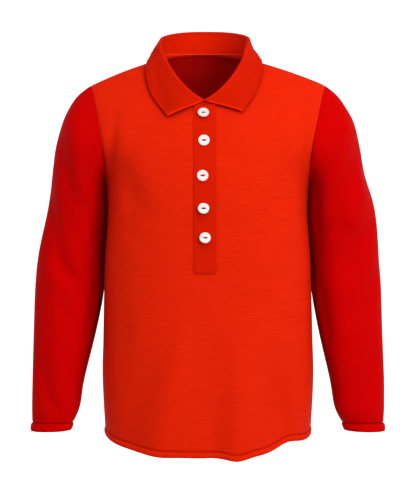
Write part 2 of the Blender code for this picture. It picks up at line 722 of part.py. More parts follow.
def collar_section(share, hand):
    """The middle line of the collar's cloth at one station, from the neck seam to the outer edge."""
    table_row = CollarRow(*along_table(COLLAR, [row.share for row in COLLAR], share))
    point, normal, along, to_neck = neck_edge(share, hand)
    level = unit(np.array([to_neck[0], to_neck[1], 0.0]))
    rise = unit(np.array([0, 0, 1.0]) + level * math.tan(math.radians(table_row.lean_degrees)))
    half = COLLAR_CLOTH / 2
    clear = SEAM_GAP + half * math.sqrt(max(0.0, 1 - float(rise @ to_neck) ** 2))
    base = point - CLOTH / 2 * normal + clear * to_neck
    slant = math.radians(RIGHT_FALL_SLANT_DEGREES if hand < 0 else LEFT_FALL_SLANT_DEGREES)
    fall = table_row.fall_right if hand < 0 else table_row.fall_left
    heading = np.array([hand * math.cos(slant), 0.0, -math.sin(slant)])
    behind = smooth_step(share, *BACK_FALL_SHARES)
    heading = (1 - behind) * heading - behind * to_neck
    edge = point
    for _ in range(FALL_STEPS):
        out = torso_normal(edge)
        heading = unit(heading - float(heading @ out) * out)
        edge = on_torso(edge + heading * fall / FALL_STEPS)
    edge = edge + (table_row.lift + half) * torso_normal(edge)

    radius = COLLAR_FOLD_RADIUS
    outward = np.cross(along, rise) * hand
    outward[0] *= smooth_step(share, 0.0, COLLAR_END_SHARE)
    outward = unit(outward)
    shoulder = base + (table_row.stand - radius) * rise
    line = [base + (shoulder - base) * t for t in STAND_SHARES]
    for turn in FOLD_TURNS_DEGREES:
        t = math.radians(turn)
        line.append(shoulder + radius * (1 - math.cos(t)) * outward + radius * math.sin(t) * rise)
    start = shoulder + 2 * radius * outward
    full = FALL_FULLNESS * unit(torso_normal(on_torso(edge)) + outward)
    for t in FALL_SHARES:
        line.append(start + (edge - start) * t + full * 4 * t * (1 - t))
    return [np.array(p) for p in line]


def collar_wall(name, material):
    """The collar: one flat-knit strip that stands round the neck and folds over."""
    front = [s / 2 for s in neckline_shares(-1)]
    back = [1 - s / 2 for s in neckline_shares(1)]
    shares = front + back[::-1][1:]
    grid = []
    for hand in (-1, 1):
        stations = shares if hand < 0 else shares[-2::-1]
        for share in stations:
            line = collar_section(share, hand)
            if share == 0:
                line = [p + np.array([hand * COLLAR_END_GAP, 0, 0]) for p in line]
            grid.append(line)
    points = np.array(grid)
    along = np.gradient(points, axis=0)
    down = np.gradient(points, axis=1)
    normals = np.cross(along, down)
    normals[[0, -1], :STAND_POINTS, 0] = 0.0
    normals /= np.linalg.norm(normals, axis=2, keepdims=True)
    half = COLLAR_CLOTH / 2
    outer = [[leaned(p) for p in row] for row in points - half * normals]
    inner = [[leaned(p) for p in row] for row in points + half * normals]
    return wall(name, outer, inner, material)


def button(number, row, material):
    """A round dished button that stands on the placket, turned from its profile."""
    point = torso_point(row.offset, row.height, -1)
    normal = torso_normal(point)
    tip = math.radians(row.tip_degrees)
    foot = (BUTTON_RADIUS - BUTTON_RIM) * math.sin(tip)
    base = point + (2 * SEAM_GAP + PLACKET_CLOTH + foot) * normal
    profile = (
        (0.0, 0.0),
        (BUTTON_RADIUS - BUTTON_RIM, 0.0),
        (BUTTON_RADIUS, BUTTON_EDGE_HEIGHT),
        (BUTTON_RADIUS - BUTTON_CHAMFER, BUTTON_THICKNESS),
        (BUTTON_RADIUS - BUTTON_RIM, BUTTON_THICKNESS),
        (BUTTON_RADIUS - BUTTON_DISH_EDGE, BUTTON_THICKNESS - BUTTON_DISH),
        (0.0, BUTTON_THICKNESS - BUTTON_DISH),
    )
    disc = bmesh.new()
    line = [disc.verts.new((r, 0.0, h)) for r, h in profile]
    edges = [disc.edges.new(pair) for pair in zip(line, line[1:])]
    bmesh.ops.spin(
        disc,
        geom=line + edges,
        cent=(0, 0, 0),
        axis=(0, 0, 1),
        angle=2 * math.pi,
        steps=BUTTON_SIDES,
        use_merge=True,
    )
    bmesh.ops.remove_doubles(disc, verts=disc.verts, dist=WELD_DISTANCE)
    bmesh.ops.recalc_face_normals(disc, faces=disc.faces)
    obj = new_object(f"button_{number}", disc, material)
    facing = Vector(normal).to_track_quat("Z", "Y").to_matrix().to_4x4()
    tipped = Matrix.Rotation(-tip, 4, "X")
    obj.matrix_world = Matrix.Translation(Vector(leaned(base))) @ facing @ tipped
    return obj


def finish(name, colour, roughness):
    """A plain surface colour and roughness, with no metal in it."""
    material = bpy.data.materials.new(name)
    material.use_nodes = True
    surface = material.node_tree.nodes["Principled BSDF"]
    surface.inputs["Base Color"].default_value = (*colour, 1.0)
    surface.inputs["Roughness"].default_value = roughness
    surface.inputs["Metallic"].default_value = 0.0
    return material


def main():
    for obj in list(bpy.data.objects):
        bpy.data.objects.remove(obj)
    body_cloth = finish("body_cloth", (0.80, 0.022, 0.006), 0.85)
    sleeve_cloth = finish("sleeve_cloth", (0.53, 0.003, 0.003), 0.85)
    collar_cloth = finish("collar_cloth", (0.72, 0.012, 0.003), 0.90)
    button_white = finish("button_white", (0.93, 0.90, 0.85), 0.35)
    front, back = full_panel(-1), full_panel(1)
    layer("front", front, body_cloth, 0.0, CLOTH, left_out=front_slit(front))
    layer("back", back, body_cloth, 0.0, CLOTH)
    sleeve_wall("sleeve_right", RIGHT_SLEEVE, RIGHT_SLEEVE_FOLDS, -1, sleeve_cloth)
    sleeve_wall("sleeve_left", LEFT_SLEEVE, LEFT_SLEEVE_FOLDS, 1, sleeve_cloth)
    collar_wall("collar", collar_cloth)
    placket, lift = placket_rows(front), SEAM_GAP + PLACKET_CLOTH
    layer("placket_outer", placket, collar_cloth, lift, PLACKET_CLOTH)
    layer("placket_under", placket, collar_cloth, -(CLOTH + SEAM_GAP), PLACKET_CLOTH)
    for number, row in enumerate(BUTTONS, start=1):
        button(number, row, button_white)


main()
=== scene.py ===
"""A long-sleeved football shirt: its cloth, sewing and buttons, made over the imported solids.

Metres, +Z up, and the front faces -Y. Left and right are the wearer's. Each panel is a thin shell
of cloth on the form of its solid, with its own creases, its edges turned in at the seams, and a
knit in its material. Stitches, the neck tape, buttonholes and the buttons' threads lie on them.
"""

import logging
import math
from collections import namedtuple
from collections.abc import Callable, Sequence
from dataclasses import dataclass
from enum import Enum

import bpy
import numpy as np
from mathutils import Matrix, Vector
from mathutils.bvhtree import BVHTree


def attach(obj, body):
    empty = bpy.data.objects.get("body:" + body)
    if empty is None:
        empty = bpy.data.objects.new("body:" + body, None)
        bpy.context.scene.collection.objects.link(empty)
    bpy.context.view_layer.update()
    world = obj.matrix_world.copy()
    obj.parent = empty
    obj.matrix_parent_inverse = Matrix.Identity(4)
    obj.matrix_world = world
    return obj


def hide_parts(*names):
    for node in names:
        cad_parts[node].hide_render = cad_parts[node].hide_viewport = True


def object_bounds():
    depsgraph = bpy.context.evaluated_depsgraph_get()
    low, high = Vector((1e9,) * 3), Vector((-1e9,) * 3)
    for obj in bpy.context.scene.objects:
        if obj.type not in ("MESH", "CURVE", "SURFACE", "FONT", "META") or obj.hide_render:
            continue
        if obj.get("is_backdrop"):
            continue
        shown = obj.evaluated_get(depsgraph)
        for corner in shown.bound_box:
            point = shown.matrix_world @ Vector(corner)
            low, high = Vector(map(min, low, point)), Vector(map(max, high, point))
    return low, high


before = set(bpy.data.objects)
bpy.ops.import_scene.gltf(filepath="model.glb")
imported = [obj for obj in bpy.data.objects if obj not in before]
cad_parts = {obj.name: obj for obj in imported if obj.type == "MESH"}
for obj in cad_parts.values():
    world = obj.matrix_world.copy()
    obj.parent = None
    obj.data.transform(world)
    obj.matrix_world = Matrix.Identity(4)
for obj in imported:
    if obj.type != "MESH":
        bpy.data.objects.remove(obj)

Array = np.ndarray
log = logging.getLogger("shirt")

# Driving sizes of the form, as in the solids
SEAM_GAP = 0.0003
NECK_HALF_WIDTH = 0.088
SHOULDER_HALF_WIDTH = 0.2165
UNDERARM_HEIGHT = -0.232
HEM_SIDE_HEIGHT = -0.686

TorsoRow = namedtuple("TorsoRow", "height half_width front back")
TORSO = (
    TorsoRow(-0.760, 0.1880, 0.120, 0.112),
    TorsoRow(-0.690, 0.1890, 0.119, 0.110),
    TorsoRow(-0.630, 0.1925, 0.117, 0.106),
    TorsoRow(-0.573, 0.1945, 0.116, 0.102),
    TorsoRow(-0.518, 0.1930, 0.115, 0.099),
    TorsoRow(-0.444, 0.1915, 0.115, 0.098),
    TorsoRow(-0.370, 0.1895, 0.116, 0.102),
    TorsoRow(-0.324, 0.1860, 0.117, 0.105),
    TorsoRow(-0.277, 0.1815, 0.118, 0.108),
    TorsoRow(-0.240, 0.1830, 0.117, 0.110),
    TorsoRow(-0.215, 0.1895, 0.114, 0.111),
    TorsoRow(-0.190, 0.2030, 0.109, 0.111),
    TorsoRow(-0.165, 0.2240, 0.103, 0.110),
    TorsoRow(-0.140, 0.2440, 0.096, 0.108),
    TorsoRow(-0.100, 0.2560, 0.082, 0.102),
    TorsoRow(-0.046, 0.2620, 0.063, 0.090),
    TorsoRow(0.060, 0.2650, 0.056, 0.078),
)
SECTION_POWER = 2.4

SHOULDER_SLOPE = 0.275
SHOULDER_DROOP = 0.68
SHOULDER_ROUNDING = 0.180
NECK_RISE = 0.070
NECK_RISE_HALF_WIDTH = 0.100
CENTRE_SOFTNESS = 0.020

FRONT_NECK_HEIGHT = -0.0925
BACK_NECK_HEIGHT = 0.019
FRONT_NECK_POWER = 1.5
BACK_NECK_POWER = 2.0

HEM_DROP = 0.0325
HEM_DROP_POWER = 0.60

LeanRow = namedtuple("LeanRow", "height shift")
LEAN = (
    LeanRow(-0.620, 0.0),
    LeanRow(-0.420, -0.0055),
    LeanRow(-0.100, -0.0060),
    LeanRow(0.000, -0.0080),
    LeanRow(0.020, -0.0100),
    LeanRow(0.055, -0.0040),
)
LEAN_HALF_WIDTH = 0.200

# The large folds of the solids. side is -1 on the front and 1 on the back.
TorsoFold = namedtuple("TorsoFold", "side x0 z0 x1 z1 width depth")
FULL_FROM = 0.75
FADES_FROM, FADES_TO = 1.02, 1.35
FOLD_FREE_DEPTH = 0.060
TORSO_FOLDS = (
    TorsoFold(-1, -0.030, -0.400, -0.088, -0.700, 0.030, 0.0060),
    TorsoFold(-1, -0.100, -0.480, -0.140, -0.700, 0.024, -0.0050),
    TorsoFold(-1, 0.024, -0.440, 0.010, -0.710, 0.018, -0.0050),
    TorsoFold(-1, 0.066, -0.430, 0.053, -0.720, 0.024, 0.0070),
    TorsoFold(-1, 0.105, -0.500, 0.137, -0.705, 0.026, -0.0130),
    TorsoFold(-1, -0.085, -0.330, -0.150, -0.215, 0.022, -0.0045),
    TorsoFold(-1, 0.090, -0.320, 0.150, -0.215, 0.020, -0.0035),
    TorsoFold(1, -0.095, -0.380, -0.118, -0.700, 0.026, -0.0085),
    TorsoFold(1, -0.045, -0.420, -0.052, -0.715, 0.026, 0.0070),
    TorsoFold(1, 0.012, -0.400, 0.006, -0.715, 0.022, -0.0080),
    TorsoFold(1, 0.060, -0.430, 0.072, -0.715, 0.026, 0.0070),
    TorsoFold(1, 0.108, -0.450, 0.128, -0.700, 0.022, -0.0080),
    TorsoFold(1, -0.070, -0.300, -0.150, -0.190, 0.024, -0.0060),
    TorsoFold(1, 0.070, -0.310, 0.150, -0.195, 0.024, -0.0055),
)
HemWave = namedtuple("HemWave", "side x width height")
HEM_WAVES = (
    HemWave(-1, 0.053, 0.024, -0.0060),
    HemWave(-1, 0.148, 0.030, 0.0125),
    HemWave(-1, -0.088, 0.028, -0.0020),
    HemWave(1, -0.052, 0.026, -0.0035),
    HemWave(1, 0.006, 0.022, 0.0035),
    HemWave(1, 0.072, 0.026, -0.0035),
)

ARMHOLE_BOW = 0.006
SleeveRow = namedtuple("SleeveRow", "outer_x outer_z inner_x inner_z half_depth forward")
RIGHT_SLEEVE = (
    SleeveRow(0.2165, -0.046, 0.1845, -0.232, 0.060, 0.000),
    SleeveRow(0.2405, -0.065, 0.1854, -0.236, 0.063, -0.002),
    SleeveRow(0.2570, -0.089, 0.1852, -0.243, 0.065, -0.004),
    SleeveRow(0.2700, -0.118, 0.1846, -0.255, 0.066, -0.006),
    SleeveRow(0.2820, -0.160, 0.1836, -0.274, 0.065, -0.009),
    SleeveRow(0.2895, -0.215, 0.1850, -0.302, 0.062, -0.012),
    SleeveRow(0.2990, -0.281, 0.1883, -0.336, 0.057, -0.014),
    SleeveRow(0.3145, -0.356, 0.1913, -0.384, 0.052, -0.013),
    SleeveRow(0.3205, -0.416, 0.1933, -0.430, 0.049, -0.010),
    SleeveRow(0.3225, -0.500, 0.2070, -0.502, 0.045, -0.002),
    SleeveRow(0.3235, -0.588, 0.2275, -0.588, 0.040, 0.008),
    SleeveRow(0.3238, -0.640, 0.2355, -0.639, 0.036, 0.013),
    SleeveRow(0.3232, -0.668, 0.2475, -0.668, 0.030, 0.015),
    SleeveRow(0.3252, -0.683, 0.2525, -0.682, 0.031, 0.016),
)
LEFT_SLEEVE = (
    SleeveRow(0.2165, -0.046, 0.1845, -0.232, 0.060, 0.000),
    SleeveRow(0.2390, -0.065, 0.1854, -0.236, 0.063, -0.002),
    SleeveRow(0.2560, -0.089, 0.1852, -0.243, 0.065, -0.004),
    SleeveRow(0.2705, -0.117, 0.1846, -0.255, 0.066, -0.006),
    SleeveRow(0.2810, -0.158, 0.1836, -0.274, 0.065, -0.009),
    SleeveRow(0.2910, -0.212, 0.1850, -0.302, 0.062, -0.012),
    SleeveRow(0.3105, -0.277, 0.1883, -0.336, 0.058, -0.014),
    SleeveRow(0.3170, -0.352, 0.1913, -0.384, 0.053, -0.013),
    SleeveRow(0.3210, -0.416, 0.1928, -0.430, 0.050, -0.010),
    SleeveRow(0.3225, -0.500, 0.2050, -0.502, 0.046, -0.002),
    SleeveRow(0.3245, -0.588, 0.2240, -0.588, 0.041, 0.008),
    SleeveRow(0.3240, -0.640, 0.2325, -0.639, 0.037, 0.013),
    SleeveRow(0.3226, -0.668, 0.2460, -0.668, 0.030, 0.015),
    SleeveRow(0.3246, -0.683, 0.2515, -0.682, 0.031, 0.016),
)
ARMHOLE_BLEND_ROWS = 3.0

SleeveFold = namedtuple("SleeveFold", "row0 angle0 row1 angle1 width depth")
SLEEVE_FOLD_RISE = (-0.25, 0.35)
SLEEVE_FOLD_FALL = (0.65, 1.25)
FOLD_ROW_PITCH = 0.052
FOLD_RADIUS = 0.058
RIGHT_SLEEVE_FOLDS = (
    SleeveFold(3.4, 30, 5.6, 100, 0.020, -0.0055),
    SleeveFold(5.4, 20, 7.6, 95, 0.018, -0.0065),
    SleeveFold(7.0, 60, 8.3, 130, 0.016, -0.0045),
    SleeveFold(9.6, 40, 11.2, 100, 0.018, -0.0040),
    SleeveFold(4.0, 330, 6.2, 250, 0.020, -0.0060),
    SleeveFold(6.2, 320, 7.8, 235, 0.018, -0.0065),
    SleeveFold(8.2, 300, 9.8, 240, 0.018, -0.0045),
)
LEFT_SLEEVE_FOLDS = (
    SleeveFold(3.8, 35, 5.7, 115, 0.022, -0.0060),
    SleeveFold(5.9, 25, 7.5, 105, 0.020, -0.0065),
    SleeveFold(7.3, 15, 8.8, 80, 0.016, -0.0045),
    SleeveFold(9.4, 50, 11.0, 110, 0.018, -0.0040),
    SleeveFold(3.7, 325, 5.9, 245, 0.020, -0.0060),
    SleeveFold(6.4, 325, 8.0, 240, 0.018, -0.0060),
    SleeveFold(8.6, 290, 10.0, 235, 0.018, -0.0045),
)

CollarRow = namedtuple("CollarRow", "share stand lean_degrees fall_right fall_left lift")
COLLAR = (
    CollarRow(0.00, 0.0095, 20.0, 0.0700, 0.0678, 0.0040),
    CollarRow(0.07, 0.0115, 20.0, 0.0622, 0.0590, 0.0040),
    CollarRow(0.14, 0.0142, 20.0, 0.0535, 0.0485, 0.0038),
    CollarRow(0.29, 0.0220, 18.0, 0.0402, 0.0335, 0.0036),
    CollarRow(0.43, 0.0310, 16.0, 0.0250, 0.0208, 0.0042),
    CollarRow(0.50, 0.0360, 15.0, 0.0175, 0.0165, 0.0042),
    CollarRow(0.65, 0.0410, 11.0, 0.0160, 0.0160, 0.0038),
    CollarRow(0.80, 0.0430, 8.0, 0.0150, 0.0150, 0.0032),
    CollarRow(1.00, 0.0425, 8.0, 0.0140, 0.0140, 0.0030),
)
RIGHT_FALL_SLANT_DEGREES = 20.0
LEFT_FALL_SLANT_DEGREES = 12.0
COLLAR_END_GAP = 0.0004
COLLAR_END_SHARE = 0.10
BACK_FALL_SHARES = (0.50, 0.62)
COLLAR_FOLD_RADIUS = 0.0027
FALL_STEPS = 24

SLIT_HALF_WIDTH = 0.0150
SLIT_BOTTOM_HEIGHT = -0.383
PLACKET_HALF_WIDTH = 0.0192
PLACKET_BOTTOM_HEIGHT = -0.393
PLACKET_CLOTH = 0.0016

ButtonRow = namedtuple("ButtonRow", "height offset tip_degrees")
BUTTONS = (
    ButtonRow(-0.1085, -0.0022, 16.0),
    ButtonRow(-0.1580, -0.0012, 0.0),
    ButtonRow(-0.2210, -0.0035, 2.0),
    ButtonRow(-0.2790, -0.0020, 21.0),
    ButtonRow(-0.3305, 0.0005, 22.0),
)
BUTTON_RADIUS = 0.0100
BUTTON_THICKNESS = 0.0026
BUTTON_RIM = 0.0018

TINY = 1e-12

# The cloth as sewn
CLOTH = 0.0011
SOLID_CLOTH = 0.0018
SEAM_CLOTH = 0.0005
RIB_CLOTH = 0.0018
EDGE_CLEARANCE = 0.0002
EDGE_STEPS = (0.25, 0.55)
FIRST_EDGE_STEP = 0.05
LIP_DEPTHS = (0.0032, 0.0018, 0.0007)
SEAM_DIP = 0.0009
SEAM_DIP_WIDTH = 0.0055
UNDERARM_SEAM_DIP = 0.0006
UNDERARM_SEAM_WIDTH = 0.0018

# Where creases and fullness fade: along their line, and as the cloth turns to the side
CREASE_RISE = (-0.10, 0.40)
CREASE_FALL = (0.60, 1.10)
CREASE_FACING = (0.05, 0.45)
FULL_FACING = (0.1, 0.7)
SLEEVE_CREASE_ROWS = (0.0, 1.0)
SLEEVE_CREASE_FACING = (0.0, 0.4)

# The body is a little fuller just under the arms
SIDE_FULLNESS = 0.0032
SIDE_FULL_HEIGHT = -0.256
SIDE_FULL_REACH = 0.046

# Turned hems. The levels are shares of the band that have a row of points.
HEM_BAND = 0.0112
CUFF_BAND = 0.0155
HEM_LEVELS = (0.0, 0.03, 0.09, 0.20, 0.38, 0.58, 0.76, 0.88, 0.95, 1.0, 1.05, 1.13, 1.28, 1.55, 1.9)
HEM_PUFF = 0.0021
HEM_ROUNDING = 0.0014
HEM_TURN_CLOTH = 0.9
HEM_TURN_ENDS = (1.08, 1.16)
STITCH_DIP = 0.0015
STITCH_DIP_WIDTH = 0.0015
PUCKER = 0.0004
PUCKER_REACH = 0.006
PUCKER_LENGTH = 0.013
PUCKER_MIDDLE = 0.75
BODY_PUCKER_STRETCH = 1.3
BODY_PUCKER_SHIFT = 0.7
CUFF_PUCKER_RADIUS = 0.05
FAR_FROM_HEM = 1.0

# The collar's edge, fold and stand. Each light is a painted highlight, a share of the highlight
# colour (Knit.edge).
COLLAR_BEAD = 0.0003
COLLAR_BEAD_INSET = 0.0016
COLLAR_BEAD_WIDTH = 0.0010
COLLAR_EDGE_TAPER = 0.45
COLLAR_TANGENT_STEP = 0.004
COLLAR_FALL_BULGE = 1.15
COLLAR_DEEPEST_CREASE = 0.8
COLLAR_CREASE_RISE = (0.0, 0.3)
COLLAR_LIFT_RISE = (-0.2, 0.7)
COLLAR_END_BAND = (0.0028, 0.0048)
COLLAR_ROLL_LIGHT = 0.35
COLLAR_ROLL_BAND = 0.0016
COLLAR_STAND_LIGHT = 0.60
COLLAR_STAND_FADE = (0.70, 0.95)
FALL_BEGINS = 0.05

# The placket's bands
PLACKET_SEAM_INSET = 0.0022
PLACKET_SEAM_DIP = 0.0003
PLACKET_SEAM_WIDTH = 0.0007
PLACKET_ROUNDING = 0.0009
PLACKET_WAVE = 0.00022
PLACKET_WAVE_LENGTH = 0.022
PLACKET_WAVE_FROM = 0.006
PLACKET_EDGE_STEPS = (0.0, 0.0003, 0.0009, 0.0016, 0.0022, 0.0028, 0.0040)
PLACKET_MIDDLE_FROM = 0.0070
PLACKET_LENGTH = 0.30
PLACKET_ROWS = 120
# Painted highlight on the bands: a little over all of them, more along their long edges, fading
# lower down
PLACKET_LIGHT = 0.16
PLACKET_EDGE_LIGHT = 0.45
PLACKET_EDGE_LIGHT_WIDTH = 0.0008
PLACKET_LIGHT_HEIGHTS = (-0.26, -0.12)
PLACKET_FOOT_ROW = 0.0125

# The buttons' hollow faces, their holes and thread, and the buttonholes
BUTTON_BEVEL = 0.0008
DISH_RADIUS = 0.030
DISH_DEPTH = 0.0006
EYE_HALF_SIZE = (0.0052, 0.0021, 0.0015)
EYE_ABOVE_FLOOR = 0.0002
HOLE_RADIUS = 0.0010
HOLE_OFFSET = 0.0032
HOLE_CUT = 0.010
THREAD_RADIUS = 0.00040
THREAD_HEIGHT = BUTTON_THICKNESS - 0.0009
THREAD_FOOT = 0.0003
THREAD_GATHERING = 0.4
THREAD_STRANDS = ((-0.00070, 0.0), (-0.00024, 0.00022), (0.00024, 0.00022), (0.00070, 0.0))
BUTTONHOLE_HALF_SIZE = (0.0112, 0.0014)
BUTTONHOLE_ROUNDING = 0.6

# Rows of stitches
HEM_ROW_ENDS = 0.985
HEM_ROW_POINTS = 400
PLACKET_ROW_SUNK = 0.00025
LEAST_STEP = 1e-7
FIT_SAMPLE = 23

# The tape over the back neck seam, inside the collar. The tape is real, and its colour, lighter
# than the collar's, is a painted highlight along the seam.
TAPE_WIDTH = 0.0018
TAPE_CLOTH = 0.0005
TAPE_GAP = 0.0001
TAPE_FROM_SHARE = 0.66
TAPE_ABOVE_SEAM = 0.0008
TAPE_LEVELLING = 0.42
TAPE_PROFILE = ((-0.5, 0.1), (-0.42, 0.8), (0.0, 1.0), (0.42, 0.8), (0.5, 0.1))

# The materials' patterns and relief, and their painted shade: darker inside faces, and ambient
# occlusion darkening hollows
# Painted shade on the cloth's inside faces, as a share of the dark colour's red
INSIDE_PAINTED_SHADE = 0.62
HOLLOW_REACH = 0.060
HOLLOW_SHADE = 0.46
HOLLOW_SAMPLES = 8
CLOTH_ROUGHNESS = 0.72
NoiseLayer = namedtuple("NoiseLayer", "across along detail roughness")
FINE_STREAKS = NoiseLayer(52.0, 380.0, 3.0, 0.6)
WISPS = NoiseLayer(24.0, 170.0, 2.0, 0.55)
PATCHES = NoiseLayer(7.0, 11.0, 1.0, 0.5)
MOTTLE = NoiseLayer(16.0, 24.0, 2.0, 0.5)
STREAK_STRENGTH = 2.6
MOTTLE_STRENGTH = 0.3
MIDDLE_SHADE = 0.6
WALES_TO_ROWS = 0.8
STITCH_RELIEF = 0.22
STREAK_RELIEF = 3.0
RIB_RELIEF = 1.6
KNIT_BUMP = (0.55, 0.00022)
GRAIN_SCALE = 900.0
GRAIN_DETAIL = 2.0
GRAIN_BUMP = (0.10, 0.0001)
COAT_ROUGHNESS = 0.12

# Edges that bend more than this are drawn sharp, in degrees
SHEET_SHARP = 60.0
SHELL_SHARP = 70.0
BUTTON_SHARP = 35.0

# Cells of the fine cloth
COLUMN_HEIGHT = -0.40
SOLID_SIDE_COLUMNS = 12
SLIT_CELLS = 3
EDGE_CELLS = 2
SIDE_CELLS = 80
NECK_CELLS = 48
LOWER_CELLS = 60
MIDDLE_CELLS = 34
UPPER_CELLS = 96
DENSE_ROWS = 420
SLEEVE_RINGS = 176
SLEEVE_SIDES = 136
COLLAR_HALF_STATIONS = 90
STAND_CELLS = 9
FOLD_CELLS = 8
FINE_SAMPLES = 800

# Light, camera and backdrop
CAMERA_DISTANCE = 2.4
CAMERA_HEIGHT = -0.3515
LENS_MM = 93.4
SENSOR_MM = 36.0
Lamp = namedtuple("Lamp", "name place size watts")
LAMPS = (
    Lamp("key", (1.85, -2.35, 0.4), 1.5, 46.0),
    Lamp("fill", (-0.9, -3.0, -0.1), 2.2, 6.5),
    Lamp("top", (0.1, -1.6, 1.9), 1.6, 23.0),
    Lamp("behind", (-0.5, 3.2, 0.8), 2.0, 16.0),
)
AIR_COLOUR = (1.0, 0.42, 0.34, 1.0)
AIR_STRENGTH = 0.44
FLOOR_HEIGHT = -1.06
BACKDROP_DISTANCE = 5.5
BACKDROP_CENTRE = 0.01
BACKDROP_TOP = 5.0
BACKDROP_SIDES = 64
BACKDROP_RADIUS = 1.5
BACKDROP_BENDS = 13


def smooth_step(value: Array, low: float, high: float) -> Array:
    """0 below low, 1 above high, and a soft rise between."""
    share = np.clip((np.asarray(value, float) - low) / (high - low), 0.0, 1.0)
    return share * share * (3 - 2 * share)


def unit(vectors: Array) -> Array:
    """The same directions at length 1."""
    return vectors / np.maximum(np.linalg.norm(vectors, axis=-1, keepdims=True), TINY)


def ripple(place: Array, wavelength: float, seed: int) -> Array:
    """An uneven wave from about -1 to 1 along a line.

    Args:
        place: where along the line, in metres.
        wavelength: the middle of its wavelengths, in metres.
        seed: which of many such waves it is.

    Returns:
        The wave's height at each place.
    """
    draw = np.random.default_rng(seed)
    total = np.zeros_like(np.asarray(place, float))
    for _ in range(6):
        length = wavelength * draw.uniform(0.6, 1.9)
        total += np.sin(2 * math.pi * (place / length + draw.uniform(0, 1)))
    return total / 3


class SmoothTable:
    """Columns of numbers on smooth curves through the rows of a short table."""

    def __init__(self, rows: Sequence, places: Sequence[float] | None = None) -> None:
        self.values = np.array(rows, float)
        self.places = self.values[:, 0] if places is None else np.asarray(places, float)

    def at(self, place: Array) -> Array:
        """Every column at each place, in the last axis."""
        place = np.asarray(place, float)
        places, last = self.places, len(self.places) - 1
        i = np.clip(np.searchsorted(places, place) - 1, 0, last - 1)
        low, high = np.maximum(i - 1, 0), np.minimum(i + 2, last)
        here, after = self.values[i], self.values[i + 1]
        span = (places[i + 1] - places[i])[..., None]
        t = (place - places[i])[..., None] / span
        slope0 = (after - self.values[low]) / (places[i + 1] - places[low])[..., None] * span
        slope1 = (self.values[high] - here) / (places[high] - places[i])[..., None] * span
        return (
            (2 * t**3 - 3 * t**2 + 1) * here
            + (t**3 - 2 * t**2 + t) * slope0
            + (3 * t**2 - 2 * t**3) * after
            + (t**3 - t**2) * slope1
        )


@dataclass(frozen=True)
class Crease:
    """A soft trough or ridge along a bent line on a flat map of a panel.

    Attributes:
        start: its first end on the map.
        end: its other end.
        bend: how far its middle lies aside of the straight line.
        width: how far from its middle line it has sunk to a third.
        depth: its height out of the cloth, below 0 for a trough.
    """

    start: tuple[float, float]
    end: tuple[float, float]
    bend: float
    width: float
    depth: float

    def at(self, across: Array, along: Array) -> Array:
        """The crease's height at places on the map."""
        run_a, run_b = self.end[0] - self.start[0], self.end[1] - self.start[1]
        length = math.hypot(run_a, run_b)
        off_a, off_b = across - self.start[0], along - self.start[1]
        share = (off_a * run_a + off_b * run_b) / length**2
        aside = (off_a * run_b - off_b * run_a) / length - self.bend * 4 * share * (1 - share)
        ends = smooth_step(share, *CREASE_RISE) * (1 - smooth_step(share, *CREASE_FALL))
        return self.depth * np.exp(-((aside / self.width) ** 2)) * ends


def creased(creases: Sequence[Crease], across: Array, along: Array) -> Array:
    """The height of all the creases together."""
    return sum((c.at(across, along) for c in creases), np.zeros_like(across))


# Creases of the front by x and z: beside the armholes, under the arms and over the belly
FRONT_CREASES = (
    Crease((-0.163, -0.085), (-0.176, -0.240), 0.003, 0.0100, -0.0034),
    Crease((-0.140, -0.100), (-0.148, -0.240), 0.004, 0.014, 0.0012),
    Crease((-0.122, -0.235), (-0.140, -0.330), 0.006, 0.014, -0.0022),
    Crease((0.186, -0.090), (0.176, -0.215), -0.002, 0.0090, -0.0034),
    Crease((0.128, -0.240), (0.142, -0.320), -0.005, 0.014, -0.0012),
    Crease((-0.050, -0.440), (-0.128, -0.625), -0.008, 0.013, -0.0013),
    Crease((-0.026, -0.450), (-0.098, -0.640), -0.008, 0.018, 0.0013),
    Crease((0.024, -0.440), (0.012, -0.700), 0.000, 0.017, 0.0026),
    Crease((0.048, -0.450), (0.044, -0.640), 0.002, 0.016, 0.0012),
    Crease((0.120, -0.420), (0.150, -0.600), 0.006, 0.018, -0.0012),
    Crease((-0.146, -0.420), (-0.160, -0.640), -0.006, 0.015, -0.0014),
    Crease((0.086, -0.350), (0.146, -0.300), -0.006, 0.014, -0.0010),
    Crease((-0.084, -0.366), (-0.150, -0.318), 0.005, 0.014, -0.0013),
    Crease((-0.096, -0.405), (-0.160, -0.390), 0.004, 0.012, -0.0008),
    Crease((0.100, -0.412), (0.160, -0.398), -0.004, 0.012, -0.0008),
    Crease((0.040, -0.150), (0.110, -0.205), 0.010, 0.022, -0.0010),
    Crease((-0.045, -0.160), (-0.100, -0.230), -0.008, 0.022, -0.0010),
)
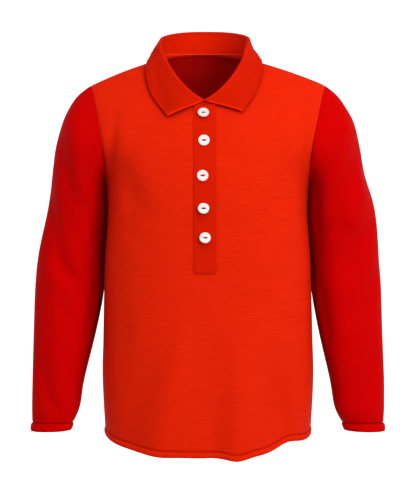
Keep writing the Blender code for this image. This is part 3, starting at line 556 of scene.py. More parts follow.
# Creases of the back by x and z: between the shoulders, from the armholes and at the waist
BACK_CREASES = (
    Crease((-0.158, -0.080), (-0.170, -0.250), 0.005, 0.008, -0.0036),
    Crease((0.160, -0.090), (0.170, -0.240), -0.005, 0.008, -0.0030),
    Crease((-0.126, -0.120), (-0.140, -0.290), 0.005, 0.012, 0.0014),
    Crease((0.122, -0.110), (0.138, -0.300), -0.006, 0.012, 0.0012),
    Crease((-0.004, -0.060), (0.006, -0.330), 0.006, 0.028, -0.0026),
    Crease((-0.110, -0.360), (-0.020, -0.392), -0.010, 0.012, -0.0024),
    Crease((0.112, -0.372), (0.028, -0.410), 0.009, 0.013, -0.0022),
    Crease((-0.130, -0.418), (-0.050, -0.440), -0.007, 0.011, -0.0018),
    Crease((0.138, -0.430), (0.060, -0.462), 0.008, 0.012, -0.0018),
    Crease((-0.030, -0.425), (0.050, -0.432), 0.004, 0.011, -0.0012),
    Crease((-0.072, -0.470), (-0.086, -0.690), 0.006, 0.012, -0.0022),
    Crease((0.036, -0.450), (0.044, -0.700), -0.005, 0.012, -0.0022),
    Crease((-0.020, -0.500), (-0.028, -0.700), 0.003, 0.012, 0.0014),
    Crease((0.092, -0.500), (0.100, -0.690), -0.004, 0.012, -0.0018),
    Crease((-0.146, -0.480), (-0.158, -0.660), 0.004, 0.014, -0.0016),
    Crease((0.148, -0.490), (0.160, -0.650), -0.004, 0.014, -0.0016),
    Crease((-0.060, -0.075), (-0.120, -0.130), 0.008, 0.016, -0.0012),
    Crease((0.056, -0.080), (0.118, -0.140), -0.008, 0.016, -0.0012),
)
# Creases of the sleeves by the distance round to the front from the outer side, and the height
RIGHT_SLEEVE_CREASES = (
    Crease((0.154, -0.190), (0.156, -0.370), 0.003, 0.022, -0.0048),
    Crease((0.140, -0.370), (0.144, -0.520), -0.003, 0.015, -0.0030),
    Crease((0.058, -0.225), (0.110, -0.360), 0.006, 0.015, -0.0036),
    Crease((0.100, -0.240), (0.140, -0.330), 0.004, 0.012, -0.0022),
    Crease((0.050, -0.350), (0.075, -0.440), 0.000, 0.018, 0.0026),
    Crease((0.080, -0.420), (0.108, -0.500), 0.003, 0.014, -0.0026),
    Crease((0.030, -0.300), (0.052, -0.390), 0.004, 0.015, -0.0022),
    Crease((0.058, -0.530), (0.086, -0.640), 0.005, 0.014, -0.0018),
    Crease((0.070, -0.110), (0.074, -0.190), 0.002, 0.016, 0.0016),
    Crease((-0.046, -0.230), (-0.104, -0.360), -0.008, 0.015, -0.0036),
    Crease((-0.034, -0.330), (-0.108, -0.440), -0.008, 0.014, -0.0034),
    Crease((-0.044, -0.440), (-0.096, -0.530), -0.005, 0.014, -0.0026),
    Crease((-0.060, -0.550), (-0.088, -0.640), -0.004, 0.014, -0.0018),
)
LEFT_SLEEVE_CREASES = (
    Crease((0.146, -0.190), (0.150, -0.370), 0.003, 0.030, -0.0062),
    Crease((0.142, -0.390), (0.144, -0.540), -0.003, 0.024, -0.0045),
    Crease((0.070, -0.160), (0.080, -0.330), 0.003, 0.020, 0.0022),
    Crease((0.086, -0.296), (0.118, -0.335), 0.002, 0.010, -0.0028),
    Crease((0.040, -0.190), (0.056, -0.280), 0.003, 0.016, 0.0024),
    Crease((0.062, -0.282), (0.086, -0.318), 0.002, 0.014, 0.0026),
    Crease((0.060, -0.350), (0.104, -0.420), 0.005, 0.014, -0.0028),
    Crease((0.078, -0.440), (0.110, -0.500), 0.003, 0.013, -0.0020),
    Crease((0.050, -0.520), (0.080, -0.640), 0.005, 0.014, -0.0016),
    Crease((-0.040, -0.220), (-0.108, -0.350), -0.008, 0.015, -0.0034),
    Crease((-0.036, -0.350), (-0.100, -0.450), -0.008, 0.014, -0.0034),
    Crease((-0.040, -0.450), (-0.090, -0.540), -0.005, 0.014, -0.0024),
    Crease((-0.056, -0.560), (-0.082, -0.650), -0.004, 0.014, -0.0018),
)
# Creases of the collar's fall by the shares round from the front and down from the fold
RIGHT_LEAF_CREASES = (
    Crease((0.17, 1.05), (0.32, 0.40), 0.04, 0.085, -0.0032),
    Crease((0.06, 0.95), (0.14, 0.30), 0.02, 0.070, 0.0020),
    Crease((0.36, 0.95), (0.46, 0.50), 0.02, 0.080, 0.0018),
)
LEFT_LEAF_CREASES = (
    Crease((0.22, 1.05), (0.36, 0.45), -0.04, 0.080, -0.0028),
    Crease((0.08, 0.90), (0.17, 0.30), -0.02, 0.070, 0.0018),
    Crease((0.38, 0.95), (0.48, 0.50), -0.02, 0.080, 0.0016),
)


class Torso:
    """The form of the body: how deep it is at each place seen from the front or the back."""

    def __init__(self) -> None:
        self.table = SmoothTable(TORSO)

    def row(self, height: Array) -> Array:
        """The columns of the torso's table at each height."""
        return self.table.at(np.clip(height, TORSO[0].height, TORSO[-1].height))

    def half_width(self, height: Array) -> Array:
        """Half the width of the torso."""
        return self.row(height)[..., 1]

    def ridge(self, x: Array) -> Array:
        """The height of the shoulder line at x."""
        out = np.hypot(x, CENTRE_SOFTNESS) - NECK_HALF_WIDTH
        near = np.maximum(0.0, 1 - (x / NECK_RISE_HALF_WIDTH) ** 2)
        droop = SHOULDER_DROOP * np.maximum(out, 0.0) ** 2
        return -SHOULDER_SLOPE * out - droop + NECK_RISE * near**2

    def folds(self, x: Array, z: Array, side: Array) -> Array:
        """The height of the large folds."""
        total = np.zeros(np.broadcast(x, z).shape)
        for fold in TORSO_FOLDS:
            run_x, run_z = fold.x1 - fold.x0, fold.z1 - fold.z0
            length = math.hypot(run_x, run_z)
            share = ((x - fold.x0) * run_x + (z - fold.z0) * run_z) / length**2
            aside = ((x - fold.x0) * run_z - (z - fold.z0) * run_x) / length
            end = smooth_step(share, 0.0, FULL_FROM)
            end = end * (1 - smooth_step(share, FADES_FROM, FADES_TO))
            total += (side == fold.side) * fold.depth * np.exp(-((aside / fold.width) ** 2)) * end
        return total

    def squared_depth(self, x: Array, z: Array, side: Array) -> Array:
        """The square of the depth on one side. It is below 0 outside the torso's outline."""
        row = self.row(z)
        depth = np.where(np.asarray(side) < 0, row[..., 2], row[..., 3])
        across = np.abs(x / row[..., 1]) ** SECTION_POWER
        sides = np.sign(1 - across) * np.abs(1 - across) ** (2 / SECTION_POWER)
        below = np.minimum((self.ridge(x) - z) / SHOULDER_ROUNDING, 1.0)
        rounding = below * (2 - below)
        beyond = (sides < 0) | (rounding < 0)
        plain = depth * np.sqrt(np.where(beyond, 0.0, sides * rounding))
        free = smooth_step(plain, 0.0, FOLD_FREE_DEPTH)
        filled = (plain + self.folds(x, z, side) * free) ** 2
        return np.where(beyond, -np.abs(depth**2 * sides * rounding), filled)

    def point(self, x: Array, z: Array, side: Array) -> Array:
        """The points of the surface that are seen at x and z from the front or the back."""
        y = side * np.sqrt(np.maximum(self.squared_depth(x, z, side), 0.0))
        return np.stack(np.broadcast_arrays(x, y, z), axis=-1).astype(float)

    def outside(self, points: Array) -> Array:
        """Above 0 outside the surface and below 0 inside it."""
        x, y, z = points[..., 0], points[..., 1], points[..., 2]
        return y * y - self.squared_depth(x, z, np.where(y < 0, -1, 1))

    def slope(self, points: Array, step: float = 2e-5) -> Array:
        """How outside() changes along each axis."""
        changes = [
            self.outside(points + step * axis) - self.outside(points - step * axis)
            for axis in np.eye(3)
        ]
        return np.stack(changes, axis=-1) / (2 * step)

    def normal(self, points: Array) -> Array:
        """The directions straight out of the surface."""
        return unit(self.slope(points))

    def settle(self, points: Array) -> Array:
        """The same points brought back to the surface."""
        for _ in range(4):
            slope = self.slope(points)
            steep = np.maximum((slope**2).sum(-1), 1e-9)
            points = points - slope * (self.outside(points) / steep)[..., None]
        return points


TORSO_FORM = Torso()


def leaned(points: Array) -> Array:
    """Points moved sideways as the upper body leans."""
    shift = np.interp(points[..., 2], [r.height for r in LEAN], [r.shift for r in LEAN])
    moved = points.copy()
    moved[..., 0] += shift * np.maximum(0.0, 1 - (points[..., 0] / LEAN_HALF_WIDTH) ** 2)
    return moved


def hem_height(across: Array, side: int) -> Array:
    """The height of the hem, from 0 at the middle of a side to 1 or -1 at the side seams."""
    width = float(TORSO_FORM.half_width(HEM_SIDE_HEIGHT))
    drop = HEM_DROP * np.maximum(0.0, 1 - np.abs(across) ** SECTION_POWER) ** HEM_DROP_POWER
    waves = sum(
        w.height * np.exp(-(((across * width - w.x) / w.width) ** 2))
        for w in HEM_WAVES
        if w.side == side
    )
    return HEM_SIDE_HEIGHT - drop + waves * (1 - across**8)


def neckline(share: Array, side: int) -> tuple[Array, Array]:
    """Half the neckline, from its middle (0) to the shoulder seam (1), seen from the front.

    Args:
        share: where on the half neckline.
        side: -1 for the front and 1 for the back.

    Returns:
        x and z of each place.
    """
    top = TORSO_FORM.ridge(np.array(NECK_HALF_WIDTH))
    angle = np.asarray(share, float) * math.pi / 2
    if side < 0:
        power = 2 / FRONT_NECK_POWER
        x = NECK_HALF_WIDTH * np.sin(angle) ** power
        return x, top - (top - FRONT_NECK_HEIGHT) * np.maximum(np.cos(angle), 0) ** power
    x = NECK_HALF_WIDTH * np.sin(angle)
    return x, top + (BACK_NECK_HEIGHT - top) * np.maximum(np.cos(angle), 0) ** BACK_NECK_POWER


def even_shares(curve: Callable[[Array], Array], count: int, samples: int = 600) -> Array:
    """Parameters that divide a curve into stretches of equal length.

    Args:
        curve: gives the points of the curve for parameters from 0 to 1.
        count: how many stretches there are.
        samples: how many steps the curve is measured in.

    Returns:
        One parameter more than there are stretches, from 0 to 1.
    """
    at = np.linspace(0, 1, samples + 1)
    steps = np.linalg.norm(np.diff(curve(at), axis=0), axis=1)
    run = np.concatenate([[0], np.cumsum(steps)])
    return np.interp(np.linspace(0, run[-1], count + 1), run, at)


def even_rows(points: Array, count: int) -> Array:
    """Each column of a grid divided again.

    Args:
        points: the grid, rows by columns by three.
        count: how many stretches each column gets.

    Returns:
        The new grid, its rows at equal distances along each column.
    """
    steps = np.linalg.norm(np.diff(points, axis=0), axis=2)
    run = np.concatenate([np.zeros((1, points.shape[1])), np.cumsum(steps, axis=0)])
    rows = np.empty((count + 1, *points.shape[1:]))
    for j in range(points.shape[1]):
        at = np.linspace(0, run[-1, j], count + 1)
        for axis in range(3):
            rows[:, j, axis] = np.interp(at, run[:, j], points[:, j, axis])
    return rows


def distance_from_start(points: Array) -> Array:
    """How far each point of a grid lies along its column from the first row."""
    steps = np.linalg.norm(np.diff(points, axis=0), axis=2)
    return np.concatenate([np.zeros((1, points.shape[1])), np.cumsum(steps, axis=0)])


def grid_normals(points: Array, round_about: bool = False) -> Array:
    """The directions straight out of a grid.

    Args:
        points: the grid, rows by columns by three.
        round_about: whether its last column joins the first.

    Returns:
        The cross products of its directions over the columns and over the rows, at length 1.
    """
    if round_about:
        wide = np.concatenate([points[:, -1:], points, points[:, :1]], axis=1)
        across = (wide[:, 2:] - wide[:, :-2]) / 2
    else:
        across = np.gradient(points, axis=1)
    return unit(np.cross(across, np.gradient(points, axis=0)))


def armhole_view(angle: Array) -> tuple[Array, Array]:
    """The armhole seen from the front, from the shoulder (0) to the underarm (pi): x and z."""
    top = TORSO_FORM.ridge(np.array(SHOULDER_HALF_WIDTH))
    share = (1 + np.cos(angle)) / 2
    bottom_x = float(TORSO_FORM.half_width(UNDERARM_HEIGHT))
    x = bottom_x + (SHOULDER_HALF_WIDTH - bottom_x) * share
    return x - ARMHOLE_BOW * np.sin(angle) ** 2, UNDERARM_HEIGHT + (top - UNDERARM_HEIGHT) * share


def armhole(angle: Array, hand: int) -> Array:
    """The armhole's loop.

    Args:
        angle: 0 at the shoulder, pi/2 at the front and pi at the underarm.
        hand: -1 for the wearer's right and 1 for the left.

    Returns:
        The points of the loop.
    """
    angle = np.mod(angle, 2 * math.pi)
    side = np.where(angle <= math.pi, -1, 1)
    x, z = armhole_view(np.minimum(angle, 2 * math.pi - angle))
    return TORSO_FORM.point(hand * x, z, side)


class SleeveForm:
    """The form of one sleeve. hand is -1 for the wearer's right and 1 for the left."""

    def __init__(self, rows: Sequence[SleeveRow], folds: Sequence[SleeveFold], hand: int) -> None:
        self.last = len(rows) - 1
        self.table = SmoothTable(rows, range(len(rows)))
        self.folds, self.hand = folds, hand

    def fold_height(self, place: Array, angle: Array) -> Array:
        """How far the large folds move the surface out."""
        total = np.zeros(np.broadcast(place, angle).shape)
        for fold in self.folds:
            turn = np.mod(np.degrees(angle) - fold.angle0 + 180, 360) - 180
            run_a = (fold.row1 - fold.row0) * FOLD_ROW_PITCH
            run_b = math.radians(fold.angle1 - fold.angle0) * FOLD_RADIUS
            off_a, off_b = (place - fold.row0) * FOLD_ROW_PITCH, np.radians(turn) * FOLD_RADIUS
            length = math.hypot(run_a, run_b)
            share = (off_a * run_a + off_b * run_b) / length**2
            aside = (off_a * run_b - off_b * run_a) / length
            end = smooth_step(share, *SLEEVE_FOLD_RISE)
            end = end * (1 - smooth_step(share, *SLEEVE_FOLD_FALL))
            total += fold.depth * np.exp(-((aside / fold.width) ** 2)) * end
        return total

    def plain(self, angle: Array, place: Array) -> Array:
        """The tube's surface without the blend into the armhole."""
        row = self.table.at(place)
        outer = np.stack([self.hand * row[..., 0], 0 * row[..., 0], row[..., 1]], axis=-1)
        inner = np.stack([self.hand * row[..., 2], 0 * row[..., 0], row[..., 3]], axis=-1)
        centre, reach = (outer + inner) / 2, (outer - inner) / 2
        fold = self.fold_height(place, angle)
        size = np.linalg.norm(reach, axis=-1)
        across = reach * (np.cos(angle) * (1 + fold / size))[..., None]
        deep = (row[..., 4] + fold) * np.sin(angle) + row[..., 5]
        return centre + across + np.stack([0 * deep, -deep, 0 * deep], axis=-1)

    def point(self, angle: Array, place: Array) -> Array:
        """Points of the sleeve's outer surface. Its first ring is the armhole's loop."""
        near = 1 - smooth_step(place, 0.0, ARMHOLE_BLEND_ROWS)
        shift = armhole(angle, self.hand) - self.plain(angle, np.zeros_like(angle))
        return self.plain(angle, place) + shift * near[..., None]

    def normal(self, angle: Array, place: Array, step: float = 0.02) -> Array:
        """The directions straight out of the sleeve."""
        low, high = np.maximum(place - step, 0.0), np.minimum(place + step, self.last)
        along = self.point(angle, high) - self.point(angle, low)
        around = self.point(angle + step, place) - self.point(angle - step, place)
        return unit(np.cross(around, along)) * self.hand

    def seam_normal(self, angle: Array) -> Array:
        """The mitre between the sleeve's and the body's cloth at the armhole."""
        body = TORSO_FORM.normal(armhole(angle, self.hand))
        return unit(body + self.normal(angle, np.zeros_like(angle)))


RIGHT_FORM = SleeveForm(RIGHT_SLEEVE, RIGHT_SLEEVE_FOLDS, -1)
LEFT_FORM = SleeveForm(LEFT_SLEEVE, LEFT_SLEEVE_FOLDS, 1)


@dataclass(frozen=True)
class Sheet:
    """A grid of cloth: its outer face, how thick it is below, and its map in metres.

    Attributes:
        points: the outer face, rows by columns by three.
        thickness: the cloth's thickness at each point.
        uv: a flat map, rows by columns by two.
        facing: 1 or -1, for the side on which the outer face lies.
        round_about: whether the last column joins the first.
    """

    points: Array
    thickness: Array
    uv: Array
    facing: int
    round_about: bool = False

    def flipped(self) -> "Sheet":
        """The same sheet with its rows in the other order."""
        points, thickness, uv = self.points[::-1], self.thickness[::-1], self.uv[::-1]
        return Sheet(points, thickness, uv, -self.facing, self.round_about)

    def turned(self) -> "Sheet":
        """The same sheet with rows for columns."""
        swap = (1, 0, 2)
        points, uv = self.points.transpose(swap), self.uv.transpose(swap)
        return Sheet(points, self.thickness.T, uv, -self.facing, False)

    def normals(self) -> Array:
        """Straight out of the outer face at each point."""
        return grid_normals(self.points, self.round_about) * self.facing

    def with_turned_edge(self, edge_normals: Array) -> "Sheet":
        """The sheet with its first row turned in, as at a seam.

        Args:
            edge_normals: straight out of the seam at each point of the first row.

        Returns:
            The sheet with a soft valley towards the seam and a lip that goes in.
        """
        points, normals = self.points, self.normals()
        away = points[1] - points[0]
        length = np.linalg.norm(away, axis=1, keepdims=True)
        base = points[0] + away / length * EDGE_CLEARANCE
        down = SEAM_DIP * edge_normals
        lip = [base - down - depth * edge_normals for depth in LIP_DEPTHS]
        far = distance_from_start(points)
        dip = SEAM_DIP * (1 - smooth_step(far, 0.0, SEAM_DIP_WIDTH))
        rest = points - normals * dip[..., None]
        corner = base - down
        steps = [corner + (rest[1] - corner) * t for t in EDGE_STEPS]
        shaped = np.concatenate([lip, [corner], steps, rest[1:]])
        thin = [np.full(len(base), SEAM_CLOTH)] * (len(lip) + 1)
        rows = [self.thickness[1]] * len(steps)
        thickness = np.concatenate([thin, rows, self.thickness[1:]])
        uv_out = [self.uv[0] - (self.uv[1] - self.uv[0]) / length * depth for depth in LIP_DEPTHS]
        uv_in = [self.uv[0] + (self.uv[1] - self.uv[0]) * t for t in (FIRST_EDGE_STEP, *EDGE_STEPS)]
        uv = np.concatenate([uv_out, uv_in, self.uv[1:]])
        return Sheet(shaped, thickness, uv, self.facing, self.round_about)


def new_object(
    name: str,
    points: Array,
    faces: Sequence[Sequence[int]],
    material: bpy.types.Material,
    sharp_degrees: float | None = None,
) -> bpy.types.Object:
    """A mesh object in the scene.

    Args:
        name: the object's name.
        points: its vertices.
        faces: the vertices of each face, in order.
        material: its only material.
        sharp_degrees: edges that bend more than this are drawn sharp, if it is given.

    Returns:
        The new object, shaded smooth.
    """
    mesh = bpy.data.meshes.new(name)
    mesh.from_pydata(points.tolist(), [], faces)
    mesh.materials.append(material)
    mesh.shade_smooth()
    if sharp_degrees is not None:
        mesh.set_sharp_from_angle(angle=math.radians(sharp_degrees))
    obj = bpy.data.objects.new(name, mesh)
    bpy.context.scene.collection.objects.link(obj)
    return obj


def grid_quads(rows: int, columns: int, round_about: bool = False) -> Array:
    """The quads between the points of a grid.

    Args:
        rows: how many rows of points it has.
        columns: how many columns of points it has.
        round_about: whether its last column joins the first.

    Returns:
        The quads, rows of cells by columns of cells by four.
    """
    wide = columns if round_about else columns - 1
    i, j = np.meshgrid(np.arange(rows - 1), np.arange(wide), indexing="ij")
    k = (j + 1) % columns
    low, high = i * columns, (i + 1) * columns
    return np.stack([low + j, low + k, high + k, high + j], axis=-1)


def closed_quads(one_side: Array, count: int) -> Array:
    """The faces of a closed skin.

    Args:
        one_side: the quads of one side.
        count: how many points each side has.

    Returns:
        That side, the other side turned over, and the rim between the two.
    """
    around = np.concatenate([one_side[:, [n, (n + 1) % 4]] for n in range(4)])
    there = around[:, 0] * count + around[:, 1]
    back = around[:, 1] * count + around[:, 0]
    one, other = around[~np.isin(there, back)].T
    rim = np.stack([other, one, one + count, other + count], axis=-1)
    return np.concatenate([one_side, one_side[:, ::-1] + count, rim])


def set_map(obj: bpy.types.Object, corner_uv: Array) -> None:
    """Writes an object's flat map, one place for each corner of each face."""
    layer = obj.data.uv_layers.new(name="UVMap")
    layer.data.foreach_set("uv", corner_uv.reshape(-1).astype(np.float32))


def mark_points(obj: bpy.types.Object, name: str, values: Array) -> None:
    """Writes one number for each vertex, for the materials to read."""
    attribute = obj.data.attributes.new(name, "FLOAT", "POINT")
    attribute.data.foreach_set("value", values.reshape(-1).astype(np.float32))


def build_sheet(
    name: str,
    sheet: Sheet,
    material: bpy.types.Material,
    left_out: Array | None = None,
) -> bpy.types.Object:
    """A closed mesh between a sheet's outer face and its inner one.

    Args:
        name: the piece's name.
        sheet: the cloth.
        material: its material.
        left_out: cells that stay open, one truth value a cell.

    Returns:
        The new object.
    """
    rows, columns = sheet.points.shape[:2]
    count = rows * columns
    inner = sheet.points - sheet.normals() * sheet.thickness[..., None]
    points = np.concatenate([sheet.points.reshape(-1, 3), inner.reshape(-1, 3)])
    cells = grid_quads(rows, columns, sheet.round_about)
    if sheet.facing < 0:
        cells = cells[..., ::-1]
    present = np.ones(cells.shape[:2], bool) if left_out is None else ~left_out
    used, compact = np.unique(closed_quads(cells[present], count), return_inverse=True)
    quads = compact.reshape(-1, 4)
    piece = new_object(name, points[used], quads.tolist(), material, SHEET_SHARP)
    corner_uv = np.concatenate([sheet.uv.reshape(-1, 2)] * 2)[used][quads]
    if sheet.round_about:
        last_cell = float(np.linalg.norm(sheet.points[0, 0] - sheet.points[0, -1]))
        girth = last_cell + float(sheet.uv[..., 0].max())
        low = corner_uv[..., 0].min(axis=1, keepdims=True)
        wraps = (corner_uv[..., 0].max(axis=1, keepdims=True) - low) > girth / 2
        behind = wraps & (corner_uv[..., 0] < low + girth / 4)
        corner_uv[..., 0] += np.where(behind, girth, 0.0)
    set_map(piece, corner_uv)
    # Marks the inner face, which the material paints darker as painted shade inside the shirt
    mark_points(piece, "painted_inside_shade", used >= count)
    piece.data.validate()
    return piece


def build_shell(
    name: str,
    outer: Array,
    inner: Array,
    uv: Array,
    material: bpy.types.Material,
    highlight_share: Array | None = None,
) -> bpy.types.Object:
    """A closed mesh between two grids of points.

    Args:
        name: the piece's name.
        outer: one face, rows by columns by three.
        inner: the other face, which sets where the back faces lie.
        uv: the flat map of both.
        material: the material.
        highlight_share: how much painted highlight each point of a face gets, 0 to 1.

    Returns:
        The new object, its faces outward.
    """
    count = outer.shape[0] * outer.shape[1]
    chosen = grid_quads(*outer.shape[:2]).reshape(-1, 4)
    points = np.concatenate([outer.reshape(-1, 3), inner.reshape(-1, 3)])
    sample = chosen[len(chosen) // 2]
    corner, beside, _, above = points[sample]
    if np.cross(beside - corner, above - corner) @ (corner - points[sample[0] + count]) < 0:
        chosen = chosen[:, ::-1]
    quads = closed_quads(chosen, count)
    piece = new_object(name, points, quads.tolist(), material, SHELL_SHARP)
    set_map(piece, np.concatenate([uv.reshape(-1, 2)] * 2)[quads])
    # Marks where the material paints a highlight
    if highlight_share is not None:
        mark_points(piece, "painted_highlight", np.concatenate([highlight_share.reshape(-1)] * 2))
    return piece


class MaterialName(Enum):
    """The record's material slots."""

    BODY = "body_cloth"
    SLEEVE = "sleeve_cloth"
    COLLAR = "collar_cloth"
    BUTTON = "button_white"


@dataclass(frozen=True)
class Piece:
    """A finished piece.

    Attributes:
        obj: its object.
        slot: the record's material slot that it belongs to.
        stands_for: the node that it replaces, if it does.
    """

    obj: bpy.types.Object
    slot: MaterialName
    stands_for: str = ""

    def enter(self) -> None:
        """Places the piece on the frame's only body."""
        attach(self.obj, "root")
        if self.stands_for:
            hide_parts(self.stands_for)
        triangles = sum(len(face.vertices) - 2 for face in self.obj.data.polygons)
        log.info("%s: %d triangles", self.obj.name, triangles)


Colour = tuple[float, float, float]
Input = bpy.types.NodeSocket | float | tuple[float, ...]


class Graph:
    """A new material's nodes, with short ways to add what the cloths need."""

    def __init__(self, name: str) -> None:
        self.material = bpy.data.materials.new(name)
        self.material.use_nodes = True
        self.tree = self.material.node_tree
        self.surface = self.tree.nodes["Principled BSDF"]

    def add(self, kind: str) -> bpy.types.Node:
        """A new node."""
        return self.tree.nodes.new(kind)

    def feed(self, node: bpy.types.Node, inputs: dict[str | int, Input]) -> None:
        """Sets a node's inputs to values, or links them to other nodes' outputs."""
        for key, value in inputs.items():
            if isinstance(value, bpy.types.NodeSocket):
                self.tree.links.new(value, node.inputs[key])
            else:
                node.inputs[key].default_value = value

    def maths(self, kind: str, one: Input, other: Input = 0.0) -> bpy.types.NodeSocket:
        """The result of one step of arithmetic."""
        step = self.add("ShaderNodeMath")
        step.operation = kind
        self.feed(step, {0: one, 1: other})
        return step.outputs["Value"]

    def blend(self, amount: bpy.types.NodeSocket, low: Input, high: Input) -> bpy.types.NodeSocket:
        """A colour between two: low where the amount is 0 and high where it is 1."""
        mix = self.add("ShaderNodeMix")
        mix.data_type = "RGBA"
        ends = [(*end, 1.0) if isinstance(end, tuple) else end for end in (low, high)]
        self.feed(mix, {"Factor": amount, "A": ends[0], "B": ends[1]})
        return mix.outputs["Result"]

    def noise(self, place: bpy.types.NodeSocket, layer: NoiseLayer) -> bpy.types.NodeSocket:
        """Soft noise over the flat map, with its own scale across and along."""
        stretch = self.add("ShaderNodeMapping")
        self.feed(stretch, {"Vector": place, "Scale": (layer.across, layer.along, 1.0)})
        pattern = self.add("ShaderNodeTexNoise")
        pattern.noise_dimensions = "2D"
        self.feed(
            pattern,
            {
                "Vector": stretch.outputs["Vector"],
                "Scale": 1.0,
                "Detail": layer.detail,
                "Roughness": layer.roughness,
            },
        )
        return pattern.outputs["Fac"]

    def attribute(self, name: str) -> bpy.types.NodeSocket:
        """A number that the mesh gives for each point."""
        node = self.add("ShaderNodeAttribute")
        node.attribute_name = name
        return node.outputs["Fac"]

    def bump(self, height: bpy.types.NodeSocket, strength: float, depth: float) -> None:
        """Gives the surface a fine relief."""
        node = self.add("ShaderNodeBump")
        self.feed(node, {"Strength": strength, "Distance": depth, "Height": height})
        self.feed(self.surface, {"Normal": node.outputs["Normal"]})


@dataclass(frozen=True)
class Knit:
    """The looks of one cloth.

    Attributes:
        name: the material's name.
        colour: its colour in linear light.
        dark: the colour of its thinner streaks.
        glint: the tint of what it throws back without taking its own colour.
        rows: how many rows of stitches there are in a metre.
        slub: how strongly the uneven streaks of the yarn show.
        shine: how much it throws back in that way.
        painted_hollow_shade: how fast its colour darkens towards the painted hollow shade, as a
            power of the ambient occlusion.
        edge: the colour of its painted highlight, laid where light falls brightly on edges, folds
            and the stand.
        rib: how many ribs run along it in a metre of its width, or 0.
    """

    name: str
    colour: Colour
    dark: Colour
    glint: Colour
    rows: float
    slub: float
    shine: float
    painted_hollow_shade: float
    edge: Colour = (0.90, 0.06, 0.02)
    rib: float = 0.0

    def streaks(self, graph: Graph, place: bpy.types.NodeSocket) -> bpy.types.NodeSocket:
        """Thicker and thinner yarn, as a number about 0."""
        yarn = graph.maths("ADD", graph.noise(place, FINE_STREAKS), graph.noise(place, WISPS))
        uneven = graph.maths("SUBTRACT", graph.maths("MULTIPLY", yarn, 0.5), 0.5)
        patches = graph.noise(place, PATCHES)
        strength = graph.maths("MULTIPLY", patches, STREAK_STRENGTH * self.slub)
        return graph.maths("MULTIPLY", uneven, strength)

    def colours(
        self, graph: Graph, place: bpy.types.NodeSocket, streak: bpy.types.NodeSocket
    ) -> bpy.types.NodeSocket:
        """The cloth's colour with its painted highlight, darkened towards a painted shade in
        hollows by ambient occlusion, and painted darker on its inside faces.
        """
        mottle = graph.maths("SUBTRACT", graph.noise(place, MOTTLE), 0.5)
        mottle = graph.maths("MULTIPLY", mottle, MOTTLE_STRENGTH)
        shade = graph.maths("ADD", graph.maths("ADD", streak, MIDDLE_SHADE), mottle)
        right_side = graph.blend(shade, self.dark, self.colour)
        # Painted highlight: the colour goes towards the highlight colour where the mesh marks it
        right_side = graph.blend(graph.attribute("painted_highlight"), right_side, self.edge)
        # Painted shade: ambient occlusion darkens the colour towards a deeper red in hollows,
        # creases and where parts lie close
        painted_hollow_shade = graph.add("ShaderNodeAmbientOcclusion")
        painted_hollow_shade.samples = HOLLOW_SAMPLES
        graph.feed(painted_hollow_shade, {"Distance": HOLLOW_REACH})
        openness = graph.maths("POWER", painted_hollow_shade.outputs["AO"], self.painted_hollow_shade)
        red, green, blue = self.dark
        deep = (red * HOLLOW_SHADE, green * HOLLOW_SHADE**3, blue * HOLLOW_SHADE**3)
        # Painted shade: the inside faces are painted darker and redder, as the inside of the shirt
        # lies in shade
        painted_inside_shade = (red * INSIDE_PAINTED_SHADE, blue, blue)
        shaded = graph.blend(openness, deep, right_side)
        return graph.blend(graph.attribute("painted_inside_shade"), shaded, painted_inside_shade)

    def relief(
        self, graph: Graph, place: bpy.types.NodeSocket, streak: bpy.types.NodeSocket
    ) -> bpy.types.NodeSocket:
        """The height of the stitches, the uneven yarn and the ribs."""
        split = graph.add("ShaderNodeSeparateXYZ")
        graph.feed(split, {"Vector": place})

        def wave(axis: str, count: float) -> bpy.types.NodeSocket:
            turns = graph.maths("MULTIPLY", split.outputs[axis], 2 * math.pi * count)
            return graph.maths("SINE", turns)

        stitches = graph.maths("ADD", wave("Y", self.rows), wave("X", self.rows * WALES_TO_ROWS))
        height = graph.maths("MULTIPLY", stitches, STITCH_RELIEF)
        height = graph.maths("ADD", height, graph.maths("MULTIPLY", streak, STREAK_RELIEF))
        if self.rib:
            ribs = graph.maths("MULTIPLY", wave("Y", self.rib), RIB_RELIEF)
            height = graph.maths("ADD", height, ribs)
        return height

    def build(self) -> bpy.types.Material:
        """The material: streaks of uneven yarn, stitches and ribs over the flat map."""
        graph = Graph(self.name)
        uv = graph.add("ShaderNodeUVMap")
        uv.uv_map = "UVMap"
        place = uv.outputs["UV"]
        streak = self.streaks(graph, place)
        graph.feed(
            graph.surface,
            {
                "Roughness": CLOTH_ROUGHNESS,
                "Specular IOR Level": self.shine,
                "Specular Tint": (*self.glint, 1.0),
                "Base Color": self.colours(graph, place, streak),
            },
        )
        graph.bump(self.relief(graph, place, streak), *KNIT_BUMP)
        return graph.material


@dataclass(frozen=True)
class Plain:
    """The looks of thread, tape or a button: one colour with a faint grain.

    Attributes:
        name: the material's name.
        colour: its colour in linear light.
        roughness: from 0, glossy, to 1, dull.
        shine: how much it throws back without taking its own colour.
        coat: how much of a clear coat it has.
    """

    name: str
    colour: Colour
    roughness: float
    shine: float
    coat: float = 0.0

    def build(self) -> bpy.types.Material:
        """The material."""
        graph = Graph(self.name)
        graph.feed(
            graph.surface,
            {
                "Base Color": (*self.colour, 1.0),
                "Roughness": self.roughness,
                "Specular IOR Level": self.shine,
                "Coat Weight": self.coat,
                "Coat Roughness": COAT_ROUGHNESS,
            },
        )
        place = graph.add("ShaderNodeTexCoord")
        grain = graph.add("ShaderNodeTexNoise")
        whole = {"Vector": place.outputs["Object"], "Scale": GRAIN_SCALE, "Detail": GRAIN_DETAIL}
        graph.feed(grain, whole)
        graph.bump(grain.outputs["Fac"], *GRAIN_BUMP)
        return graph.material


